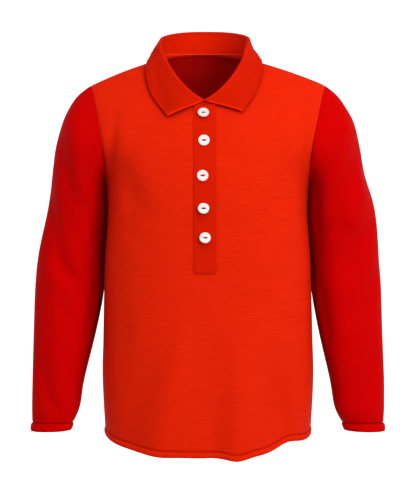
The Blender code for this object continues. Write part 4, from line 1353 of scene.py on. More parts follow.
BODY_KNIT = Knit(
    name="body_knit",
    colour=(0.82, 0.0250, 0.003),
    dark=(0.68, 0.0160, 0.0015),
    glint=(1.0, 0.36, 0.10),
    rows=1150.0,
    slub=1.0,
    shine=0.06,
    painted_hollow_shade=1.2,
)
SLEEVE_KNIT = Knit(
    name="sleeve_knit",
    colour=(0.66, 0.0010, 0.0015),
    dark=(0.51, 0.0005, 0.0008),
    glint=(1.0, 0.04, 0.05),
    rows=1150.0,
    slub=0.8,
    shine=0.03,
    painted_hollow_shade=1.3,
)
COLLAR_RIB = Knit(
    name="collar_rib",
    colour=(0.71, 0.016, 0.001),
    dark=(0.58, 0.010, 0.0005),
    glint=(1.0, 0.26, 0.05),
    rows=1300.0,
    slub=0.35,
    shine=0.06,
    painted_hollow_shade=0.35,
    # edge: the painted highlight's colour
    edge=(1.0, 0.022, 0.001),
    rib=720.0,
)


@dataclass(frozen=True)
class Cloths:
    """All the materials of the shirt."""

    body: bpy.types.Material
    sleeve: bpy.types.Material
    collar: bpy.types.Material
    tape: bpy.types.Material
    body_thread: bpy.types.Material
    sleeve_thread: bpy.types.Material
    dark_thread: bpy.types.Material
    button: bpy.types.Material

    @classmethod
    def make(cls) -> "Cloths":
        """Builds every material."""
        return cls(
            body=BODY_KNIT.build(),
            sleeve=SLEEVE_KNIT.build(),
            collar=COLLAR_RIB.build(),
            # The tape's lighter colour is a painted highlight along the back neck seam
            tape=Plain("neck_tape_and_seam_highlight", (0.86, 0.060, 0.020), 0.8, 0.05).build(),
            body_thread=Plain("body_thread", (0.60, 0.010, 0.003), 0.7, 0.1).build(),
            sleeve_thread=Plain("sleeve_thread", (0.42, 0.001, 0.001), 0.7, 0.1).build(),
            dark_thread=Plain("button_thread", (0.035, 0.006, 0.030), 0.7, 0.1).build(),
            button=Plain("button_gloss", (0.99, 0.985, 0.97), 0.22, 0.5, 0.5).build(),
        )


@dataclass(frozen=True)
class Hem:
    """The profile of a turned hem, by the distance from its edge.

    Attributes:
        band: how far from the edge it is stitched.
        seed: which uneven wave its puckers follow.
    """

    band: float
    seed: int

    def levels(self) -> Array:
        """Distances from the edge that have a row of points."""
        return np.array(HEM_LEVELS) * self.band

    def raised(self, far: Array, around: Array) -> Array:
        """How far the outer face stands out.

        Args:
            far: distances from the hem's edge.
            around: places along the edge, for the puckers.

        Returns:
            The height over the plain cloth at each place.
        """
        share = np.clip(far / self.band, 0.0, 1.0)
        puff = HEM_PUFF * np.sin(math.pi * share) ** 0.5
        groove = STITCH_DIP * np.exp(-(((far - self.band) / STITCH_DIP_WIDTH) ** 2))
        curl = np.clip(1 - far / HEM_ROUNDING, 0.0, 1.0)
        rounding = SEAM_CLOTH * (1 - np.sqrt(1 - curl**2))
        reach = np.exp(-(((far - PUCKER_MIDDLE * self.band) / PUCKER_REACH) ** 2))
        puckers = PUCKER * ripple(around, PUCKER_LENGTH, self.seed) * reach
        return puff - groove - rounding + puckers

    def thickness(self, far: Array) -> Array:
        """How thick the cloth is: doubled up to the stitches and a little past them."""
        turned = 1 - smooth_step(far, *(share * self.band for share in HEM_TURN_ENDS))
        curl = np.clip(1 - far / HEM_ROUNDING, 0.0, 1.0)
        return CLOTH * (1 + turned * HEM_TURN_CLOTH * (1 - curl**2))


BODY_HEM = Hem(HEM_BAND, 11)
CUFF_HEM = Hem(CUFF_BAND, 23)


@dataclass
class BodyPanel:
    """The front or the back, from the hem to the shoulder seams.

    Attributes:
        side: -1 for the front and 1 for the back.
        creases: its own creases, by x and z.
    """

    side: int
    creases: Sequence[Crease]

    def columns(self) -> tuple[Array, Array, Array]:
        """The columns of half the panel.

        Returns:
            Their shares of the half width, their shares of the neckline (above 1 on the shoulder
            seam), and their places among the solid's columns.
        """
        row = TORSO_FORM.row(np.array(COLUMN_HEIGHT))
        slit, edge = SLIT_HALF_WIDTH / row[1], PLACKET_HALF_WIDTH / row[1]

        def across(turn: Array) -> Array:
            return edge + (1 - edge) * np.sin(turn * math.pi / 2)

        def section(turn: Array) -> Array:
            rest = np.maximum(0.0, 1 - across(turn) ** SECTION_POWER)
            depth = row[2] * rest ** (1 / SECTION_POWER)
            return np.stack([across(turn) * row[1], depth], axis=-1)

        middle = np.linspace(0, slit, SLIT_CELLS + 1)[:-1]
        border = np.linspace(slit, edge, EDGE_CELLS + 1)[:-1]
        shares = np.concatenate([middle, border, across(even_shares(section, SIDE_CELLS))])
        fine = np.linspace(0, 1, FINE_SAMPLES)
        reach = neckline(fine, self.side)[0]
        neck_slit, neck_edge = np.interp([SLIT_HALF_WIDTH, PLACKET_HALF_WIDTH], reach, fine)

        def neck_curve(share: Array) -> Array:
            x, z = neckline(neck_edge + (1 - neck_edge) * share, self.side)
            return TORSO_FORM.point(x, z, self.side)

        neck = np.concatenate(
            [
                np.linspace(0, neck_slit, SLIT_CELLS + 1)[:-1],
                np.linspace(neck_slit, neck_edge, EDGE_CELLS + 1)[:-1],
                neck_edge + (1 - neck_edge) * even_shares(neck_curve, NECK_CELLS),
            ]
        )
        seam = 1 + np.linspace(0, 1, SIDE_CELLS - NECK_CELLS + 1)[1:]
        solid = np.concatenate(
            [
                np.linspace(0, 1, SLIT_CELLS + 1)[:-1],
                np.linspace(1, 2, EDGE_CELLS + 1)[:-1],
                np.linspace(2, SOLID_SIDE_COLUMNS, SIDE_CELLS + 1),
            ]
        )
        return shares, np.concatenate([neck, seam]), solid / SOLID_SIDE_COLUMNS

    def half(self, hand: int) -> tuple[Array, Array]:
        """Half the panel's points before creases.

        Args:
            hand: -1 for the wearer's right half and 1 for the left.

        Returns:
            The points, and how far each lies from the hem, or FAR_FROM_HEM beyond its levels.
        """
        shares, tops, solid = self.columns()
        hem = hem_height(hand * shares, self.side)
        heights = [hem + level for level in BODY_HEM.levels()]
        start = BODY_HEM.levels()[-1]
        for t in np.linspace(0, 1, LOWER_CELLS + 1)[1:]:
            heights.append((1 - t) * (hem + start) + t * SLIT_BOTTOM_HEIGHT)
        for t in np.linspace(0, 1, MIDDLE_CELLS + 1)[1:]:
            heights.append((1 - t) * SLIT_BOTTOM_HEIGHT + t * UNDERARM_HEIGHT + 0 * hem)
        z = np.array(heights)
        lower = TORSO_FORM.point(hand * shares * TORSO_FORM.half_width(z), z, self.side)

        up = ((1 + np.cos(np.linspace(math.pi, 0, DENSE_ROWS + 1))) / 2)[:, None]
        angle = np.linspace(math.pi, 0, DENSE_ROWS + 1)[:, None]
        bottom_x = hand * shares * float(TORSO_FORM.half_width(UNDERARM_HEIGHT))
        neck_x, neck_z = neckline(np.minimum(tops, 1.0), self.side)
        seam_x = NECK_HALF_WIDTH + (SHOULDER_HALF_WIDTH - NECK_HALF_WIDTH) * np.maximum(tops - 1, 0)
        on_seam = tops > 1
        top_x = hand * np.where(on_seam, seam_x, neck_x)
        top_z = np.where(on_seam, TORSO_FORM.ridge(seam_x), neck_z)
        edge_x, _ = armhole_view(angle)
        bowed = hand * edge_x - ((1 - up) * bottom_x[-1] + up * top_x[-1])
        x = (1 - up) * bottom_x + up * top_x + bowed * solid
        z = (1 - up) * UNDERARM_HEIGHT + up * top_z
        upper = even_rows(TORSO_FORM.point(x, z, self.side), UPPER_CELLS)
        points = np.concatenate([lower, upper[1:]])
        far = np.full(points.shape[:2], FAR_FROM_HEM)
        far[: len(HEM_LEVELS)] = BODY_HEM.levels()[:, None]
        return points, far

    def on_surface(self, points: Array) -> Array:
        """Points of the plain form moved out by the panel's own creases.

        The creases die out where the cloth turns to the side. Under the arms the sides are full.
        """
        normals = TORSO_FORM.normal(points)
        facing = np.abs(normals[..., 1])
        height = creased(self.creases, points[..., 0], points[..., 2])
        height = height * smooth_step(facing, *CREASE_FACING)
        full = np.exp(-(((points[..., 2] - SIDE_FULL_HEIGHT) / SIDE_FULL_REACH) ** 2))
        height += SIDE_FULLNESS * full * (1 - smooth_step(facing, *FULL_FACING))
        return points + normals * height[..., None]

    def hem_height(self, x: Array, far: Array) -> Array:
        """How far the turned hem stands out at x and at distances from its edge."""
        return BODY_HEM.raised(far, x * BODY_PUCKER_STRETCH + BODY_PUCKER_SHIFT * self.side)

    def side_normals(self, column: Array, form: SleeveForm) -> Array:
        """Straight out of the seams down one side of the panel.

        Args:
            column: the points of the panel's edge column, on the plain form.
            form: the sleeve on that side.

        Returns:
            The body's normals down the side seam, and the mitre with the sleeve round the armhole.
        """
        normals, z = TORSO_FORM.normal(column), column[:, 2]
        high = z > UNDERARM_HEIGHT
        top = float(TORSO_FORM.ridge(np.array(SHOULDER_HALF_WIDTH)))
        up = np.clip((z[high] - UNDERARM_HEIGHT) / (top - UNDERARM_HEIGHT), 0, 1)
        angle = np.arccos(2 * up - 1)
        normals[high] = form.seam_normal(angle if self.side < 0 else 2 * math.pi - angle)
        return normals

    def sheet(self) -> Sheet:
        """The whole panel with its creases, its hem and its turned edges."""
        right, far_right = self.half(-1)
        left, far_left = self.half(1)
        plain = np.concatenate([right[:, ::-1], left[:, 1:]], axis=1)
        far = np.concatenate([far_right[:, ::-1], far_left[:, 1:]], axis=1)
        hem = np.where(far < FAR_FROM_HEM, self.hem_height(plain[..., 0], far), 0.0)
        normals = TORSO_FORM.normal(plain)
        points = leaned(self.on_surface(plain) + normals * hem[..., None])
        along = distance_from_start(points)
        underarm = len(HEM_LEVELS) + LOWER_CELLS + MIDDLE_CELLS - 1
        across = distance_from_start(points.transpose(1, 0, 2)).T
        middle = points.shape[1] // 2
        uv = np.stack([across - across[:, middle : middle + 1], along - along[underarm]], axis=-1)
        sheet = Sheet(points, BODY_HEM.thickness(far), uv, -self.side).turned()
        sheet = sheet.with_turned_edge(self.side_normals(plain[:, 0], RIGHT_FORM)).flipped()
        sheet = sheet.with_turned_edge(self.side_normals(plain[:, -1], LEFT_FORM)).flipped()
        sheet = sheet.turned()
        extra = (sheet.points.shape[1] - normals.shape[1]) // 2
        top = np.concatenate([normals[-1, :1]] * extra + [normals[-1]] + [normals[-1, -1:]] * extra)
        return sheet.flipped().with_turned_edge(top).flipped()

    def build(self, name: str, material: bpy.types.Material) -> Piece:
        """The finished panel. The front's slit stays open behind the placket."""
        sheet = self.sheet()
        rows, columns = sheet.points.shape[:2]
        open_cells = np.zeros((rows - 1, columns - 1), bool)
        if self.side < 0:
            middle = columns // 2
            first = len(HEM_LEVELS) + LOWER_CELLS - 1
            open_cells[first:, middle - SLIT_CELLS : middle + SLIT_CELLS] = True
        panel = build_sheet(f"{name}_panel", sheet, material, open_cells)
        return Piece(panel, MaterialName.BODY, name)


@dataclass
class Sleeve:
    """One sleeve, from the armhole to its turned cuff.

    Attributes:
        form: its shape.
        creases: its own creases, by the distance round it and the height.
    """

    form: SleeveForm
    creases: Sequence[Crease]

    def places(self) -> Array:
        """Rings at even distances down the sleeve, and closer ones at the cuff's hem."""
        last = self.form.last
        fine = np.linspace(0, last, 900)
        outer = self.form.point(np.zeros_like(fine), fine)
        middle = (outer + self.form.point(np.full_like(fine, math.pi), fine)) / 2
        run = np.concatenate([[0], np.cumsum(np.linalg.norm(np.diff(middle, axis=0), axis=1))])
        hem = run[-1] - CUFF_HEM.levels()[::-1]
        even = np.linspace(0, hem[0], SLEEVE_RINGS + 1)[:-1]
        return np.interp(np.concatenate([even, hem]), run, fine)

    def sheet(self) -> Sheet:
        """The sleeve's cloth with its creases, its seam and its hem."""
        angles = np.linspace(0, 2 * math.pi, SLEEVE_SIDES + 1)[:-1]
        angle, place = np.meshgrid(angles, self.places())
        plain = self.form.point(angle, place)
        normals = self.form.normal(angle, place)
        along = distance_from_start(plain)
        turn = np.mod(angle + math.pi, 2 * math.pi) - math.pi
        around = turn * FOLD_RADIUS
        height = creased(self.creases, around, plain[..., 2])
        height *= smooth_step(place, *SLEEVE_CREASE_ROWS)
        height *= smooth_step(np.sin(turn) ** 2, *SLEEVE_CREASE_FACING)
        from_seam = (np.abs(turn) - math.pi) * FOLD_RADIUS / UNDERARM_SEAM_WIDTH
        height -= UNDERARM_SEAM_DIP * np.exp(-(from_seam**2))
        far = np.full_like(along, FAR_FROM_HEM)
        far[-len(HEM_LEVELS) :] = CUFF_HEM.levels()[::-1][:, None]
        raised = CUFF_HEM.raised(far, angle * CUFF_PUCKER_RADIUS + self.form.hand)
        hem = np.where(far < FAR_FROM_HEM, raised, 0.0)
        points = leaned(plain + normals * (height + hem)[..., None])
        uv = np.stack([angle * FOLD_RADIUS, -along], axis=-1)
        sheet = Sheet(points, CUFF_HEM.thickness(far), uv, self.form.hand, True)
        return sheet.with_turned_edge(self.form.seam_normal(angles))

    def build(self, name: str, material: bpy.types.Material) -> Piece:
        """The finished sleeve."""
        panel = build_sheet(f"{name}_panel", self.sheet(), material)
        return Piece(panel, MaterialName.SLEEVE, name)


CollarSheet = namedtuple("CollarSheet", "outer inner uv knitted")


class Collar:
    """The collar: one flat-knit strip that stands round the neck and folds over."""

    def on_neckline(self, share: Array, hand: int) -> Array:
        """Points of the neckline from the middle of the front (0) to that of the back (1)."""
        front = share <= 0.5
        half = np.where(front, 2 * share, 2 * (1 - share))
        x_front, z_front = neckline(half, -1)
        x_back, z_back = neckline(half, 1)
        x, z = np.where(front, x_front, x_back), np.where(front, z_front, z_back)
        return TORSO_FORM.point(hand * x, z, np.where(front, -1, 1))

    def lines(self, share: Array, hand: int) -> tuple[Array, Array]:
        """The middle of the collar's cloth.

        Args:
            share: its stations round the neck.
            hand: -1 for the wearer's right half and 1 for the left.

        Returns:
            The points, stations by places from the neck seam to the outer edge, and how far each
            place of the fall lies along it, with 0 up to the fold.
        """
        table = SmoothTable(COLLAR).at(share)
        _, stand, lean, fall_right, fall_left, lift = table.T
        fall = fall_right if hand < 0 else fall_left
        point = self.on_neckline(share, hand)
        ahead = self.on_neckline(np.minimum(share + COLLAR_TANGENT_STEP, 1.0), hand)
        behind = self.on_neckline(np.maximum(share - COLLAR_TANGENT_STEP, 0.0), hand)
        along = unit(ahead - behind)
        normal = TORSO_FORM.normal(point)
        to_neck = np.cross(normal, along) * hand
        to_neck[:, 0] *= smooth_step(share, 0.0, COLLAR_END_SHARE)
        to_neck = unit(to_neck)
        level = unit(to_neck * (1.0, 1.0, 0.0))
        rise = unit(np.array([0, 0, 1.0]) + level * np.tan(np.radians(lean))[:, None])
        facing = (rise * to_neck).sum(1)
        clear = SEAM_GAP + RIB_CLOTH / 2 * np.sqrt(np.maximum(0.0, 1 - facing**2))
        base = point - SOLID_CLOTH / 2 * normal + clear[:, None] * to_neck
        slant = math.radians(RIGHT_FALL_SLANT_DEGREES if hand < 0 else LEFT_FALL_SLANT_DEGREES)
        at_back = smooth_step(share, *BACK_FALL_SHARES)[:, None]
        front_way = np.array([hand * math.cos(slant), 0.0, -math.sin(slant)])
        heading = (1 - at_back) * front_way - at_back * to_neck
        path = [point]
        for _ in range(FALL_STEPS):
            out = TORSO_FORM.normal(path[-1])
            heading = unit(heading - (heading * out).sum(1, keepdims=True) * out)
            path.append(TORSO_FORM.settle(path[-1] + heading * (fall / FALL_STEPS)[:, None]))

        radius = COLLAR_FOLD_RADIUS
        outward = np.cross(along, rise) * hand
        outward[:, 0] *= smooth_step(share, 0.0, COLLAR_END_SHARE)
        outward = unit(outward)
        shoulder = base + (stand - radius)[:, None] * rise
        places = [base + (shoulder - base) * t for t in np.linspace(0, 1, STAND_CELLS + 1)]
        for turn in np.linspace(0, math.pi, FOLD_CELLS + 1)[1:-1]:
            bend = (1 - math.cos(turn)) * outward + math.sin(turn) * rise
            places.append(shoulder + radius * bend)
        start = shoulder + 2 * radius * outward
        creases = RIGHT_LEAF_CREASES if hand < 0 else LEFT_LEAF_CREASES
        progress = [0.0] * len(places)
        for step, on_shirt in enumerate(path):
            t = step / FALL_STEPS
            out = TORSO_FORM.normal(on_shirt)
            folded = creased(creases, share, np.full_like(share, t))
            folded = folded * smooth_step(t, *COLLAR_CREASE_RISE)
            rest = (lift + RIB_CLOTH / 2) * smooth_step(t, *COLLAR_LIFT_RISE)
            rest = rest + np.maximum(folded, -COLLAR_DEEPEST_CREASE * lift)
            from_fold = (start - path[0]) * (1 - t) ** COLLAR_FALL_BULGE
            places.append(on_shirt + from_fold + out * (rest * t**0.5)[:, None])
            progress.append(t)
        return np.stack(places, axis=1), np.array(progress)

    def sheet(self) -> CollarSheet:
        """The whole strip, with a bead along its outer edge and painted highlights."""

        def curve(share: Array) -> Array:
            return self.on_neckline(share, 1)

        shares = even_shares(curve, COLLAR_HALF_STATIONS)
        right, progress = self.lines(shares, -1)
        left, _ = self.lines(shares, 1)
        right[0, :, 0] -= COLLAR_END_GAP
        left[0, :, 0] += COLLAR_END_GAP
        points = np.concatenate([right, left[-2::-1]])
        normals = grid_normals(points) * -1
        stand = STAND_CELLS + FOLD_CELLS
        normals[[0, -1], :stand, 0] = 0.0
        normals = unit(normals)
        length = distance_from_start(points.transpose(1, 0, 2)).T
        to_fold = length[:, stand - 1 : stand]
        ends = np.minimum(distance_from_start(points), distance_from_start(points[::-1])[::-1])
        falling = progress > FALL_BEGINS
        rim = np.minimum(length[:, -1:] - length, np.where(falling, ends, 1.0))
        bead = COLLAR_BEAD * np.exp(-(((rim - COLLAR_BEAD_INSET) / COLLAR_BEAD_WIDTH) ** 2))
        taper = COLLAR_EDGE_TAPER * np.clip(1 - rim / COLLAR_BEAD_WIDTH, 0, 1) ** 2
        half = (RIB_CLOTH / 2 * (1 - taper) + bead)[..., None]
        uv = np.stack([distance_from_start(points) - 0.2, length], axis=-1)
        # Painted highlights: a bright band along the fall's ends, a line along the fold, and a
        # lighter stand at the back
        edge = np.where(falling, 1 - smooth_step(ends, *COLLAR_END_BAND), 0.0)
        roll_highlight = COLLAR_ROLL_LIGHT * np.exp(-(((length - to_fold) / COLLAR_ROLL_BAND) ** 2))
        stand_highlight = COLLAR_STAND_LIGHT * (1 - smooth_step(length / to_fold, *COLLAR_STAND_FADE))
        highlight_share = np.maximum(np.maximum(edge, roll_highlight), stand_highlight)
        outer, inner = leaned(points + normals * half), leaned(points - normals * half)
        return CollarSheet(outer, inner, uv, highlight_share)

    def build(self, name: str, material: bpy.types.Material) -> Piece:
        """The finished collar."""
        outer, inner, uv, highlight_share = self.sheet()
        strip = build_shell(f"{name}_strip", outer, inner, uv, material, highlight_share)
        return Piece(strip, MaterialName.COLLAR, name)


@dataclass
class Placket:
    """The two bands that close the front's slit.

    Attributes:
        panel: the front, whose creases the bands follow.
    """

    panel: BodyPanel

    def surface(self, x: Array, z: Array, lift: float) -> Array:
        """Points at a height over the front's outer face."""
        plain = TORSO_FORM.point(x, z, -1)
        return leaned(self.panel.on_surface(plain) + lift * TORSO_FORM.normal(plain))

    def band(self, name: str, inside: bool, material: bpy.types.Material) -> Piece:
        """One band: its edges are round, and stitched a little way in.

        Args:
            name: the node that it stands for.
            inside: whether it is the band behind the front.
            material: its cloth.

        Returns:
            The finished band.
        """
        half = PLACKET_HALF_WIDTH
        steps = np.array(PLACKET_EDGE_STEPS)
        one = np.concatenate([steps, np.linspace(PLACKET_MIDDLE_FROM, half, 5)]) - half
        across = np.concatenate([one, -one[-2::-1]])
        fine = np.linspace(0, 1, FINE_SAMPLES)
        top = np.interp(np.abs(across), *neckline(fine, -1)) - 4 * SEAM_GAP
        even = np.linspace(0, 1, PLACKET_ROWS)[1:]
        shares = np.unique(np.concatenate([steps[:-1] / PLACKET_LENGTH, even]))[:, None]
        z = PLACKET_BOTTOM_HEIGHT + (top - PLACKET_BOTTOM_HEIGHT) * shares
        x = across + 0 * z
        edge = np.minimum(half - np.abs(x), z - PLACKET_BOTTOM_HEIGHT)
        seam = np.exp(-(((edge - PLACKET_SEAM_INSET) / PLACKET_SEAM_WIDTH) ** 2))
        curl = np.clip(1 - edge / PLACKET_ROUNDING, 0, 1)
        rounded = 0.5 * PLACKET_CLOTH * (1 - np.sqrt(1 - curl**2))
        wave = PLACKET_WAVE * ripple(z + 3 * np.sign(x), PLACKET_WAVE_LENGTH, 5)
        wave = wave * smooth_step(np.abs(x), PLACKET_WAVE_FROM, half)
        plain = TORSO_FORM.point(x, z, -1)
        if inside:
            high = np.full_like(x, -(SOLID_CLOTH + SEAM_GAP))
            low = high - PLACKET_CLOTH + rounded
        else:
            high = SEAM_GAP + PLACKET_CLOTH - rounded - PLACKET_SEAM_DIP * seam + wave
            low = np.full_like(x, SEAM_GAP)
        shaped, normal = self.panel.on_surface(plain), TORSO_FORM.normal(plain)
        outer, inner = (leaned(shaped + lift[..., None] * normal) for lift in (high, low))
        # Painted highlight: a little over the whole band and a brighter line along its long edges,
        # stronger higher up
        edge_highlight = half - np.abs(x) - PLACKET_ROUNDING
        edge_highlight = np.exp(-((edge_highlight / PLACKET_EDGE_LIGHT_WIDTH) ** 2))
        up = 0.35 + 0.65 * smooth_step(z, *PLACKET_LIGHT_HEIGHTS)
        highlight_share = PLACKET_LIGHT + PLACKET_EDGE_LIGHT * edge_highlight * up
        uv = np.stack([x, z], axis=-1)
        piece = build_shell(f"{name}_band", outer, inner, uv, material, highlight_share)
        return Piece(piece, MaterialName.COLLAR, name)


@dataclass(frozen=True)
class StitchKind:
    """One kind of stitch: how long, how far apart, and how thick its thread is."""

    length: float
    gap: float
    radius: float


FINE_STITCH = StitchKind(0.0024, 0.0007, 0.00021)
HEM_STITCH = StitchKind(0.0027, 0.0008, 0.00024)
BUTTONHOLE_STITCH = StitchKind(0.0009, 0.0001, 0.00035)

# A stitch is a tube of rings: where each lies along it, its size and its height, both in radii
StitchRing = namedtuple("StitchRing", "share size height")
STITCH_RINGS = (
    StitchRing(0.0, 0.45, -1.0),
    StitchRing(0.14, 0.95, 0.35),
    StitchRing(0.5, 1.0, 0.8),
    StitchRing(0.86, 0.95, 0.35),
    StitchRing(1.0, 0.45, -1.0),
)
STITCH_SIDES = 6


def stitch_row(
    name: str,
    line: Array,
    normals: Array,
    kind: StitchKind,
    material: bpy.types.Material,
) -> bpy.types.Object:
    """A row of stitches along a line.

    Args:
        name: the piece's name.
        line: points that the thread passes.
        normals: straight out of the cloth at each of them.
        kind: the stitches' size.
        material: the thread's material.

    Returns:
        One object with every stitch.
    """
    run = np.concatenate([[0], np.cumsum(np.linalg.norm(np.diff(line, axis=0), axis=1))])
    starts = np.arange(kind.gap, run[-1] - kind.length, kind.length + kind.gap)
    shares, sizes, heights = np.array(STITCH_RINGS).T
    at = starts[:, None] + shares * kind.length
    centre = np.stack([np.interp(at, run, line[:, axis]) for axis in range(3)], axis=-1)
    out = np.stack([np.interp(at, run, normals[:, axis]) for axis in range(3)], axis=-1)
    out = unit(out)
    side = unit(np.cross(unit(np.gradient(centre, axis=1)), out))
    centre = centre + out * (heights * kind.radius)[:, None]
    turns = np.linspace(0, 2 * math.pi, STITCH_SIDES + 1)[:-1, None]
    ring = np.cos(turns) * side[..., None, :] + np.sin(turns) * out[..., None, :]
    points = centre[..., None, :] + ring * (kind.radius * sizes)[:, None, None]
    size = len(STITCH_RINGS) * STITCH_SIDES
    first = np.arange(len(starts)) * size
    tube = grid_quads(len(STITCH_RINGS), STITCH_SIDES, True).reshape(-1, 4)
    faces = (tube + first[:, None, None]).reshape(-1, 4).tolist()
    for start in first.tolist():
        faces.append(list(range(start + STITCH_SIDES - 1, start - 1, -1)))
        faces.append(list(range(start + size - STITCH_SIDES, start + size)))
    return new_object(name, points.reshape(-1, 3), faces, material)


@dataclass
class Sewing:
    """The rows of stitches and the neck tape.

    Attributes:
        cloths: the materials.
        front: the front panel.
        back: the back panel.
        placket: the placket's bands.
    """

    cloths: Cloths
    front: BodyPanel
    back: BodyPanel
    placket: Placket

    def hem_row(self, panel: BodyPanel, name: str) -> Piece:
        """The row that holds a panel's turned hem."""
        across = np.linspace(-HEM_ROW_ENDS, HEM_ROW_ENDS, HEM_ROW_POINTS)
        z = hem_height(across, panel.side) + HEM_BAND
        plain = TORSO_FORM.point(across * TORSO_FORM.half_width(z), z, panel.side)
        normals = TORSO_FORM.normal(plain)
        raised = panel.hem_height(plain[:, 0], np.full_like(z, HEM_BAND))
        line = leaned(panel.on_surface(plain) + normals * raised[:, None])
        row = stitch_row(name, line, normals, HEM_STITCH, self.cloths.body_thread)
        return Piece(row, MaterialName.BODY)

    def cuff_row(self, form: SleeveForm, creases: Sequence[Crease], name: str) -> Piece:
        """The row that holds a cuff's turned hem."""
        sheet = Sleeve(form, creases).sheet()
        ring = len(sheet.points) - 1 - HEM_LEVELS.index(1.0)
        closed = np.append(np.arange(SLEEVE_SIDES), 0)
        line, normals = sheet.points[ring, closed], sheet.normals()[ring, closed]
        row = stitch_row(name, line, normals, HEM_STITCH, self.cloths.sleeve_thread)
        return Piece(row, MaterialName.SLEEVE)

    def on_placket(
        self, name: str, x: Array, z: Array, kind: StitchKind, sunk: float = 0.0
    ) -> Piece:
        """A row of stitches on the outer band.

        Args:
            name: the piece's name.
            x: how far to the wearer's left each point of the row is.
            z: its height.
            kind: the stitches' size.
            sunk: how far the row has sunk into the band.

        Returns:
            The row.
        """
        line = self.placket.surface(x, z, SEAM_GAP + PLACKET_CLOTH - sunk)
        normals = TORSO_FORM.normal(TORSO_FORM.point(x, z, -1))
        apart = np.linalg.norm(np.diff(line, axis=0), axis=1) > LEAST_STEP
        keep = np.concatenate([[True], apart])
        row = stitch_row(name, line[keep], normals[keep], kind, self.cloths.body_thread)
        return Piece(row, MaterialName.COLLAR)

    def placket_row(self) -> Piece:
        """The row round the outer band: down one long edge, across its foot and up the other."""
        inset = PLACKET_HALF_WIDTH - PLACKET_SEAM_INSET
        top, foot = FRONT_NECK_HEIGHT + 0.012, PLACKET_BOTTOM_HEIGHT + PLACKET_SEAM_INSET
        corners = np.array([(-inset, top), (-inset, foot), (inset, foot), (inset, top)])
        sides = [np.linspace(a, b, 160) for a, b in zip(corners, corners[1:])]
        x, z = np.concatenate(sides).T
        return self.on_placket("placket_stitches", x, z, FINE_STITCH, PLACKET_ROW_SUNK)

    def placket_foot(self) -> Piece:
        """A second row across the placket's foot."""
        inset = PLACKET_HALF_WIDTH - PLACKET_SEAM_INSET
        x = np.linspace(-inset, inset, 120)
        z = np.full_like(x, PLACKET_BOTTOM_HEIGHT + PLACKET_FOOT_ROW)
        return self.on_placket("placket_foot_stitches", x, z, FINE_STITCH)

    def neck_tape(self) -> Piece:
        """The narrow tape over the back neck seam, level across the inside of the collar."""
        shares = np.linspace(TAPE_FROM_SHARE, 1.0, 90)
        halves = []
        for hand in (-1, 1):
            lines, _ = Collar().lines(shares, hand)
            stand = lines[:, : STAND_CELLS + 1]
            foot, rise = stand[:, 0], unit(stand[:, -1] - stand[:, 0])
            above = TAPE_ABOVE_SEAM + (foot[-1, 2] - foot[:, 2]) * TAPE_LEVELLING
            centre = foot + rise * (above / rise[:, 2])[:, None]
            along = unit(np.gradient(foot, axis=0))
            inward = unit(np.cross(rise, along)) * hand
            halves.append((centre, rise, inward))
        (one, rise_one, in_one), (other, rise_other, in_other) = halves
        centre = np.concatenate([one, other[-2::-1]])
        rise = np.concatenate([rise_one, rise_other[-2::-1]])
        inward = np.concatenate([in_one, in_other[-2::-1]])
        inward *= np.sign((inward * (centre * (-1, -1, 0))).sum(1, keepdims=True))
        near = centre + inward * (RIB_CLOTH / 2 + TAPE_GAP)
        beside = [near + rise * TAPE_WIDTH * across for across, _ in TAPE_PROFILE]
        inner = np.array([leaned(points) for points in beside])
        lifted = [
            leaned(points + inward * TAPE_CLOTH * height)
            for points, (_, height) in zip(beside, TAPE_PROFILE)
        ]
        outer = np.array(lifted)
        length = distance_from_start(outer.transpose(1, 0, 2)).T
        uv = np.stack([length, 0 * length], axis=-1)
        tape = build_shell("neck_tape", outer, inner, uv, self.cloths.tape)
        return Piece(tape, MaterialName.COLLAR)

    def buttonhole(self, number: int, row: ButtonRow) -> Piece:
        """The thread-worked hole behind a button, longer than the button by a little."""
        turns = np.linspace(0, 2 * math.pi, 90)
        up, aside = (
            half * np.sign(wave) * np.abs(wave) ** BUTTONHOLE_ROUNDING
            for half, wave in zip(BUTTONHOLE_HALF_SIZE, (np.cos(turns), np.sin(turns)))
        )
        x, z = row.offset + aside, row.height + up
        return self.on_placket(f"buttonhole_{number}", x, z, BUTTONHOLE_STITCH)

    def build(self) -> list[Piece]:
        """Every piece of sewing."""
        return [
            self.hem_row(self.front, "hem_stitches_front"),
            self.hem_row(self.back, "hem_stitches_back"),
            self.cuff_row(RIGHT_FORM, RIGHT_SLEEVE_CREASES, "cuff_stitches_right"),
            self.cuff_row(LEFT_FORM, LEFT_SLEEVE_CREASES, "cuff_stitches_left"),
            self.placket_row(),
            self.placket_foot(),
            self.neck_tape(),
            *(self.buttonhole(n, row) for n, row in enumerate(BUTTONS, start=1)),
        ]


def choose(obj: bpy.types.Object) -> None:
    """Makes an object the only one that Blender's operators work on."""
    bpy.ops.object.select_all(action="DESELECT")
    obj.select_set(True)
    bpy.context.view_layer.objects.active = obj


